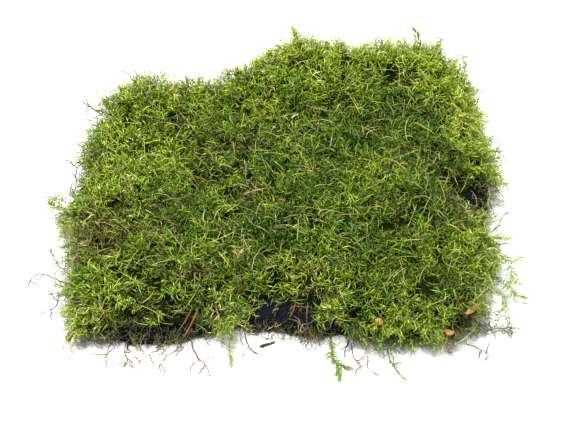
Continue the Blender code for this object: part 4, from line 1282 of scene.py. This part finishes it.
freshForm = {
    "places": [  # x, y, reach, how many shoots
        (-100, -2, 13, 12), (-126, -12, 12, 14), (-134, -86, 11, 12), (-130, -104, 9, 14), (-38, -102, 9, 12),
        (124, -62, 11, 18), (130, 22, 12, 14), (66, -106, 12, 14), (46, -100, 10, 10), (-86, -96, 7, 9),
        (-118, -113, 7, 9), (-62, -84, 9, 8), (-22, 84, 12, 12), (116, 80, 12, 12), (-114, 76, 12, 12),
        (-110, 30, 11, 12), (-108, -98, 9, 10),
    ],
    "eye": 90.0,  # mm, where their starts are looked for from above
    "over": 1.0,  # mm, how far over the felt they begin
    "stands": (0.55, 0.35, 0.45),  # out of the felt, up, and away from the middle of the tuft
    "stray": 0.12,
    "sizes": (0.75, 1.02),
    "bends": (0.05, 0.6),
    "tint": (0.15, 0.06),
    "tintRange": (0.02, 0.3),
    "lights": (0.86, 0.98),
    "foot": 0.12,
}


def makeFreshTufts():
    draw = np.random.default_rng(53)
    outward, upward, apart = freshForm["stands"]
    roots, ups = [], []
    for x, y, reach, count in freshForm["places"]:
        for _ in range(count):
            away, turn = reach * math.sqrt(draw.random()), draw.uniform(0, math.tau)
            aside = Vector((away * math.cos(turn), away * math.sin(turn), 0))
            high = (Vector((*matMiddle, freshForm["eye"])) + Vector((x, y, 0)) + aside) * mm
            spot, normal, _, _ = feltTree.ray_cast(high, down)
            if spot is None:
                continue
            roots.append(spot - down * freshForm["over"] * mm)
            ups.append(outward * normal + Vector((0, 0, upward)) + apart * aside / reach)
    roots, ups = np.array(roots), unit(np.array(ups))
    count = len(roots)
    kindOf = draw.integers(0, len(freshKinds), count)
    ways = unit(ups + freshForm["stray"] * draw.normal(size=(count, 3)))
    shape = plantShoots(
        freshKinds, kindOf, roots, ways, draw.normal(size=(count, 3)), *anyPosture(freshForm, count, draw),
        np.clip(draw.normal(*freshForm["tint"], count), *freshForm["tintRange"]),
        draw.uniform(*freshForm["lights"], count), np.full(count, freshForm["foot"]),
    )
    addPiece("moss_young_tufts", shape, mossLeaf, "moss", "moss_carpet")


makeFreshTufts()
print("young tufts made")


# the stray shoots, each along its CAD node

def nearestSolid(points):
    # how far each point is from the carpet or the soil
    return [min(tree.find_nearest(Vector(point))[3] for tree in (carpetTree, soilTree)) for point in points]


def longWay(points):
    # the middle of some points and the way that they are longest in
    middle = points.mean(axis=0)
    return middle, np.linalg.svd(points - middle, full_matrices=False)[2][0]


def nodeRoute(nodeName, slices):
    # the middle line of a long CAD node, from its end on the mat to its free end
    points = pointsOf(nodes[nodeName])
    middle, way = longWay(points)
    along = (points - middle) @ way
    ends = points[[along.argmin(), along.argmax()]]
    near = nearestSolid(ends)
    if near[1] < near[0]:
        along, ends = -along, ends[::-1]
    shares = (along - along.min()) / np.ptp(along)
    line = [ends[0]]
    for low, high in zip(np.arange(slices) / slices, (np.arange(slices) + 1) / slices):
        inside = points[(shares >= low) & (shares < high) & (shares > 0.02) & (shares < 0.98)]
        if len(inside) >= 3:
            line.append(inside.mean(axis=0))
    return np.array(line + [ends[1]])


def farAlong(neighbours, start):
    # how far each point is from the start, along the edges
    along = np.full(len(neighbours), np.inf)
    waiting = [(0.0, start)]
    while waiting:
        far, index = heapq.heappop(waiting)
        if far < along[index]:
            along[index] = far
            for other, length in neighbours[index]:
                heapq.heappush(waiting, (far + length, other))
    return along


def traced(before, end):
    # the groups from the root to this end
    route = [end]
    while before[route[-1]] >= 0:
        route.append(before[route[-1]])
    return route[::-1]


def branchRoutes(nodeName, step):
    # the middle lines of a branching node, the longest first: it is cut in slices by the distance from its root
    piece = nodeCopy(nodeName, "tracing")
    applyModifier(piece, "SUBSURF", subdivision_type="SIMPLE", levels=3, render_levels=3)
    points = pointsOf(piece)
    edges = np.array([edge.vertices[:] for edge in piece.data.edges])
    bpy.data.objects.remove(piece)
    lengths = np.linalg.norm(points[edges[:, 0]] - points[edges[:, 1]], axis=1)
    neighbours = [[] for _ in points]
    for (first, second), length in zip(edges.tolist(), lengths):
        neighbours[first].append((second, length))
        neighbours[second].append((first, length))
    along = farAlong(neighbours, int(np.argmin(nearestSolid(points))))
    known = np.isfinite(along)
    slices = np.where(known, along, 0.0) // (step * mm)
    groupOf, groups, before = np.full(len(points), -1), [], []
    for start in np.argsort(slices, kind="stable").tolist():
        if groupOf[start] >= 0 or not known[start]:
            continue
        members, earlier, queue = [], -1, [start]
        groupOf[start] = len(groups)
        while queue:
            index = queue.pop()
            members.append(index)
            for other, _ in neighbours[index]:
                if groupOf[other] < 0 and slices[other] == slices[start]:
                    groupOf[other] = len(groups)
                    queue.append(other)
                elif slices[other] < slices[start]:
                    earlier = groupOf[other]
        groups.append(points[members].mean(axis=0))
        before.append(earlier)
    routes, used = [], set()
    for end in sorted(set(range(len(groups))) - set(before), key=lambda group: -len(traced(before, group))):
        route = traced(before, end)
        fresh = [group for group in route if group not in used]
        used.update(fresh)
        if len(fresh) >= 3:
            route = route[max(0, route.index(fresh[0]) - 1):]
            routes.append(np.array([groups[group] for group in route]))
    return routes


strayForm = {
    # node: leaves, where they begin, spread low and at the tip, leaf kinds, size of the leaves, tint
    "shoot_back_right_tall": (56, 0.10, (74, 14), (0, 1), 0.98, 0.16),
    "shoot_back_right_mid": (48, 0.10, (74, 14), (0, 1), 0.88, 0.20),
    "shoot_back_right_corner": (50, 0.10, (74, 16), (0, 1), 0.92, 0.26),
    "shoot_back_middle": (54, 0.10, (74, 16), (0, 1), 0.98, 0.12),
    "shoot_right_upper": (54, 0.05, (74, 14), (0, 1), 1.0, 0.10),
    "shoot_right_middle": (46, 0.05, (70, 14), (0, 3), 0.9, 0.08),
    "shoot_left_star": (60, 0.30, (95, 30), (1, 0, 2), 1.0, 0.10),
    "shoot_left_middle": (40, 0.10, (66, 16), (0, 1), 0.8, 0.30),
    "shoot_front_tuft": (90, 0.02, (80, 25), (0, 3, 0), 0.70, 0.08),
}
branchedForm = {
    # node: leaves for each mm of its branches, spread low and at the tip, leaf kinds, size of the leaves, tint
    "shoot_right_lower": (3.4, (66, 26), (0, 1, 3), 0.80, 0.08),
    "shoot_right_front_arc": (3.0, (64, 30), (0, 1, 3), 0.78, 0.22),
    "shoot_right_front_brown": (2.8, (66, 30), (0, 3), 0.78, 0.62),
    "sprig_green": (4.2, (66, 28), (0, 1, 3), 0.85, 0.30),
    "sprig_small": (2.6, (60, 20), (0, 3), 0.55, 0.50),
}
strayShared = {
    "rings": [(index / 8, 1.0 - 0.5 * index / 8) for index in range(8)],
    "width": 0.75,
    "step": 1.8,
    "foot": 0.40,  # how far up their run of painted shade, from dark to light, the leaves begin
    "sizesAlong": (0.7, 0.95, 1.1, 1.1, 1.0, 0.8),
    "branchSizes": (0.8, 1.1, 1.1, 0.75),
}


def makeStrays():
    draw = np.random.default_rng(61)
    stem = makeStrand("stray stem", 10 * mm, strayShared["width"] * mm, strayShared["rings"], 0)
    foot = strayShared["foot"]
    for nodeName, (leaves, begin, spreads, kinds, size, tint) in strayForm.items():
        route = smoothRoute(nodeRoute(nodeName, 7), 17)
        sizes = size * np.array(strayShared["sizesAlong"])
        shape = leafyShape(stem, route, leaves, begin, spreads, kinds, sizes, draw, tint, foot)
        addPiece(nodeName + "_leaves", shape, mossLeaf, "leafy_shoots", nodeName)
    for nodeName, (dense, spreads, kinds, size, tint) in branchedForm.items():
        sizes = size * np.array(strayShared["branchSizes"])
        shapes = []
        for line in branchRoutes(nodeName, strayShared["step"]):
            route = smoothRoute(line, 2 * len(line) + 1)
            long = np.linalg.norm(np.diff(route, axis=0), axis=1).sum() / mm
            leaves = max(6, int(dense * long))
            shapes.append(leafyShape(stem, route, leaves, 0.02, spreads, kinds, sizes, draw, tint, foot))
        addPiece(nodeName + "_leaves", joinShapes(shapes), mossLeaf, "leafy_shoots", nodeName)


makeStrays()
print("stray shoots made")


# stems, rootlets and bark, rounded and roughened from their CAD nodes

woodForm = {
    # slot: nodes, material, width against the solid's, roughness of the surface and its lumps in mm
    "slots": {
        "dead_stems": (
            ("stem_front_curl", "stem_left_loop", "stem_left_front", "stem_back_left", "stem_right_mid",
             "rootlet_thin", "rootlet_brown", "rootlet_hollow_left", "rootlet_hollow_middle", "rootlet_right"),
            deadStemMaterial, 0.95, 0.14, 1.4,
        ),
        "roots": (("rootlet_left", "rootlet_pale", "rootlet_forked"), rootMaterial, 0.85, 0.22, 1.8),
        "bark": (
            ("stem_back_left_dark", "stem_left_dark", "stem_right_back", "stem_right_notch", "stem_right_low",
             "stem_front_dark"),
            barkMaterial, 0.95, 0.18, 1.3,
        ),
    },
    "rings": [(index / 14, 1.0) for index in range(14)],
    "sides": 6,
    "step": 1.6,
    "width": 2.6,  # against the distance from the middle line to the solid's nearest face
    "leastWidth": 0.85,
    "taper": 0.65,
    "wander": 0.25,
}


def makeWood():
    draw = np.random.default_rng(63)
    strand = makeStrand("wood", 10 * mm, 1.0 * mm, woodForm["rings"], 0, woodForm["sides"])
    pieces = []
    for slot, (names, material, wide, rough, lumps) in woodForm["slots"].items():
        for nodeName in names:
            tree = treeOf(nodes[nodeName])
            shapes = []
            for line in branchRoutes(nodeName, woodForm["step"]):
                line[1:] += woodForm["wander"] * draw.normal(size=(len(line) - 1, 3)) * mm
                route = smoothRoute(line, 2 * len(line) + 1)
                spots = smoothRoute(line, 6)
                widths = [woodForm["width"] * wide * tree.find_nearest(Vector(spot))[3] / mm for spot in spots]
                widths = np.maximum(widths, woodForm["leastWidth"]) * np.linspace(1.0, woodForm["taper"], 6)
                shapes.append(laidAlong(strand, route, widths=widths))
            piece = joinedPiece(nodeName + "_bark", joinShapes(shapes), mapped=False)
            putPoints(piece, keptOff(roughened(pointsOf(piece), normalsOf(piece), rough, lumps, 6.0)))
            pieces.append(finishPiece(piece, material, slot, nodeName))
    return pieces


chipForm = {"voxel": 0.28, "smooth": {"factor": 0.5, "iterations": 3}, "rough": 0.22, "lumps": 1.3}


def makeChip():
    piece = smoothCopy("bark_chip", "bark_chip_rough", chipForm)
    moved = roughened(pointsOf(piece), normalsOf(piece), chipForm["rough"], chipForm["lumps"], 6.0)
    putPoints(piece, keptOff(moved))
    finishPiece(piece, barkMaterial, "bark", "bark_chip")


hairForm = {
    "kinds": [(2.8, 0.26), (1.7, 0.30), (4.8, 0.24)],  # length, width
    "rings": [(0.0, 1.0), (0.5, 0.7)],
    "spacing": 1.5,
    "stray": 0.55,
    "sizes": (0.6, 1.25),
    "bends": (0.2, 1.6),
    "tints": (0.1, 0.95),
    "lights": (0.8, 1.0),
    "foot": 0.4,
}


def makeHairs(pieces):
    # fine side roots and the rags of old leaves along them
    draw = np.random.default_rng(67)
    kinds = plainKinds("hair", hairForm["kinds"], hairForm["rings"])
    gathered = [strewnPlaces(piece, hairForm["spacing"] * mm, draw) for piece in pieces]
    places, ways = (np.concatenate(found) for found in zip(*gathered))
    count = len(places)
    kindOf = draw.integers(0, len(kinds), count)
    aim = unit(ways + hairForm["stray"] * draw.normal(size=(count, 3)))
    shape = plantShoots(
        kinds, kindOf, places - ways * 0.2 * mm, aim, draw.normal(size=(count, 3)),
        *anyPosture(hairForm, count, draw), draw.uniform(*hairForm["tints"], count),
        draw.uniform(*hairForm["lights"], count), np.full(count, hairForm["foot"]),
    )
    addPiece("stem_hairs", shape, deadStrand, "dead_stems")


makeHairs(makeWood())
makeChip()
print("stems made")


# fallen pine needles and bits of leaf

needleForm = {
    "voxel": 0.25,
    "smooth": {"factor": 0.5, "iterations": 5},
    "thick": (0.92, 0.50),  # of the solid's, and how much of that the pointed end loses
    "bow": (0.7, -0.2, 0.0),
}


def makeNeedles():
    full, loss = needleForm["thick"]
    for nodeName in sorted(name for name in nodes if name.startswith("pine_needle")):
        piece = smoothCopy(nodeName, nodeName + "_round", needleForm)
        points = pointsOf(piece)
        middle, way = longWay(points)
        way = way if way[2] > 0 else -way
        along = (points - middle) @ way
        share = (along - along.min()) / np.ptp(along)
        core = middle + along[:, None] * way
        thick = (full - loss * np.clip(0.6 - share, 0, 1) ** 1.5 / 0.6**1.5)[:, None]
        bow = np.array(needleForm["bow"]) * np.sin(math.pi * share)[:, None] * mm
        putPoints(piece, core + (points - core) * thick + bow)
        finishPiece(piece, needleMaterial, "pine_needles", nodeName)


scrapForm = {"crumple": (0.30, 2.2), "rough": (0.06, 0.9)}  # depth and size of the lumps in mm


def makeScraps():
    crumple, crumpleSize = scrapForm["crumple"]
    rough, roughSize = scrapForm["rough"]
    for nodeName in sorted(name for name in nodes if name.startswith("leaf_scrap")):
        piece = nodeCopy(nodeName, nodeName + "_torn")
        applyModifier(piece, "SUBSURF", levels=2, render_levels=2)
        points, normals = pointsOf(piece), normalsOf(piece)
        lift = crumple * noiseAt(points[:, :2] @ np.eye(2, 3), crumpleSize * mm, 2.0)
        lifted = points + upwards * lift[:, None] * mm
        putPoints(piece, lifted + normals * rough * noiseAt(points, roughSize * mm, 5.0)[:, None] * mm)
        finishPiece(piece, dryLeafMaterial, "dry_leaf", nodeName)


makeNeedles()
makeScraps()
print("needles and scraps made")


# floor, light and camera

stageForm = {
    "floor": (0.60, 0.60, 0.60),
    "floorSize": 6.0,
    "floorDrop": 0.0002,  # m, so that it never shows through the soil's flat underside
    "air": 0.11,
    "lampAim": (0, 0, 0.03),
    "lamps": [  # name, place, size, energy
        ("key", (-0.12, -0.20, 1.1), 0.34, 42.0),
        ("right fill", (0.75, -0.35, 0.55), 0.7, 7.0),
    ],
}
cameraForm = {"target": (6.75, -21.6, 25.0), "elevation": 50.0, "distance": 700.0, "lens": 64.39, "sensor": 36.0}


def makeStage():
    deselectAll()
    bpy.ops.mesh.primitive_plane_add(size=stageForm["floorSize"], location=(0, 0, -stageForm["floorDrop"]))
    floor = bpy.context.object
    floor.name = "floor"
    material, tree, shader = newMaterial("pale floor", 0.9, 0.1)
    shader.inputs["Base Color"].default_value = (*stageForm["floor"], 1.0)
    floor.data.materials.append(material)
    world = bpy.data.worlds.new("studio")
    bpy.context.scene.world = world
    world.use_nodes = True
    background = world.node_tree.nodes["Background"]
    background.inputs["Color"].default_value = (1.0, 1.0, 1.0, 1.0)
    background.inputs["Strength"].default_value = stageForm["air"]
    for name, place, size, energy in stageForm["lamps"]:
        bpy.ops.object.light_add(type="AREA", location=place)
        lamp = bpy.context.object
        lamp.name = name
        lamp.data.size = size
        lamp.data.energy = energy
        lamp.rotation_euler = (Vector(stageForm["lampAim"]) - lamp.location).to_track_quat("-Z", "Y").to_euler()
    bpy.context.scene.view_settings.view_transform = "Standard"


def makeCamera():
    data = bpy.data.cameras.new("camera")
    data.lens = cameraForm["lens"]
    data.sensor_width = cameraForm["sensor"]
    camera = bpy.data.objects.new("camera", data)
    bpy.context.collection.objects.link(camera)
    tilt = math.radians(cameraForm["elevation"])
    back = Vector((0, -math.cos(tilt), math.sin(tilt))) * cameraForm["distance"]
    camera.location = (Vector(cameraForm["target"]) + back) * mm
    camera.rotation_euler = (math.pi / 2 - tilt, 0, 0)
    bpy.context.scene.camera = camera


makeStage()
makeCamera()
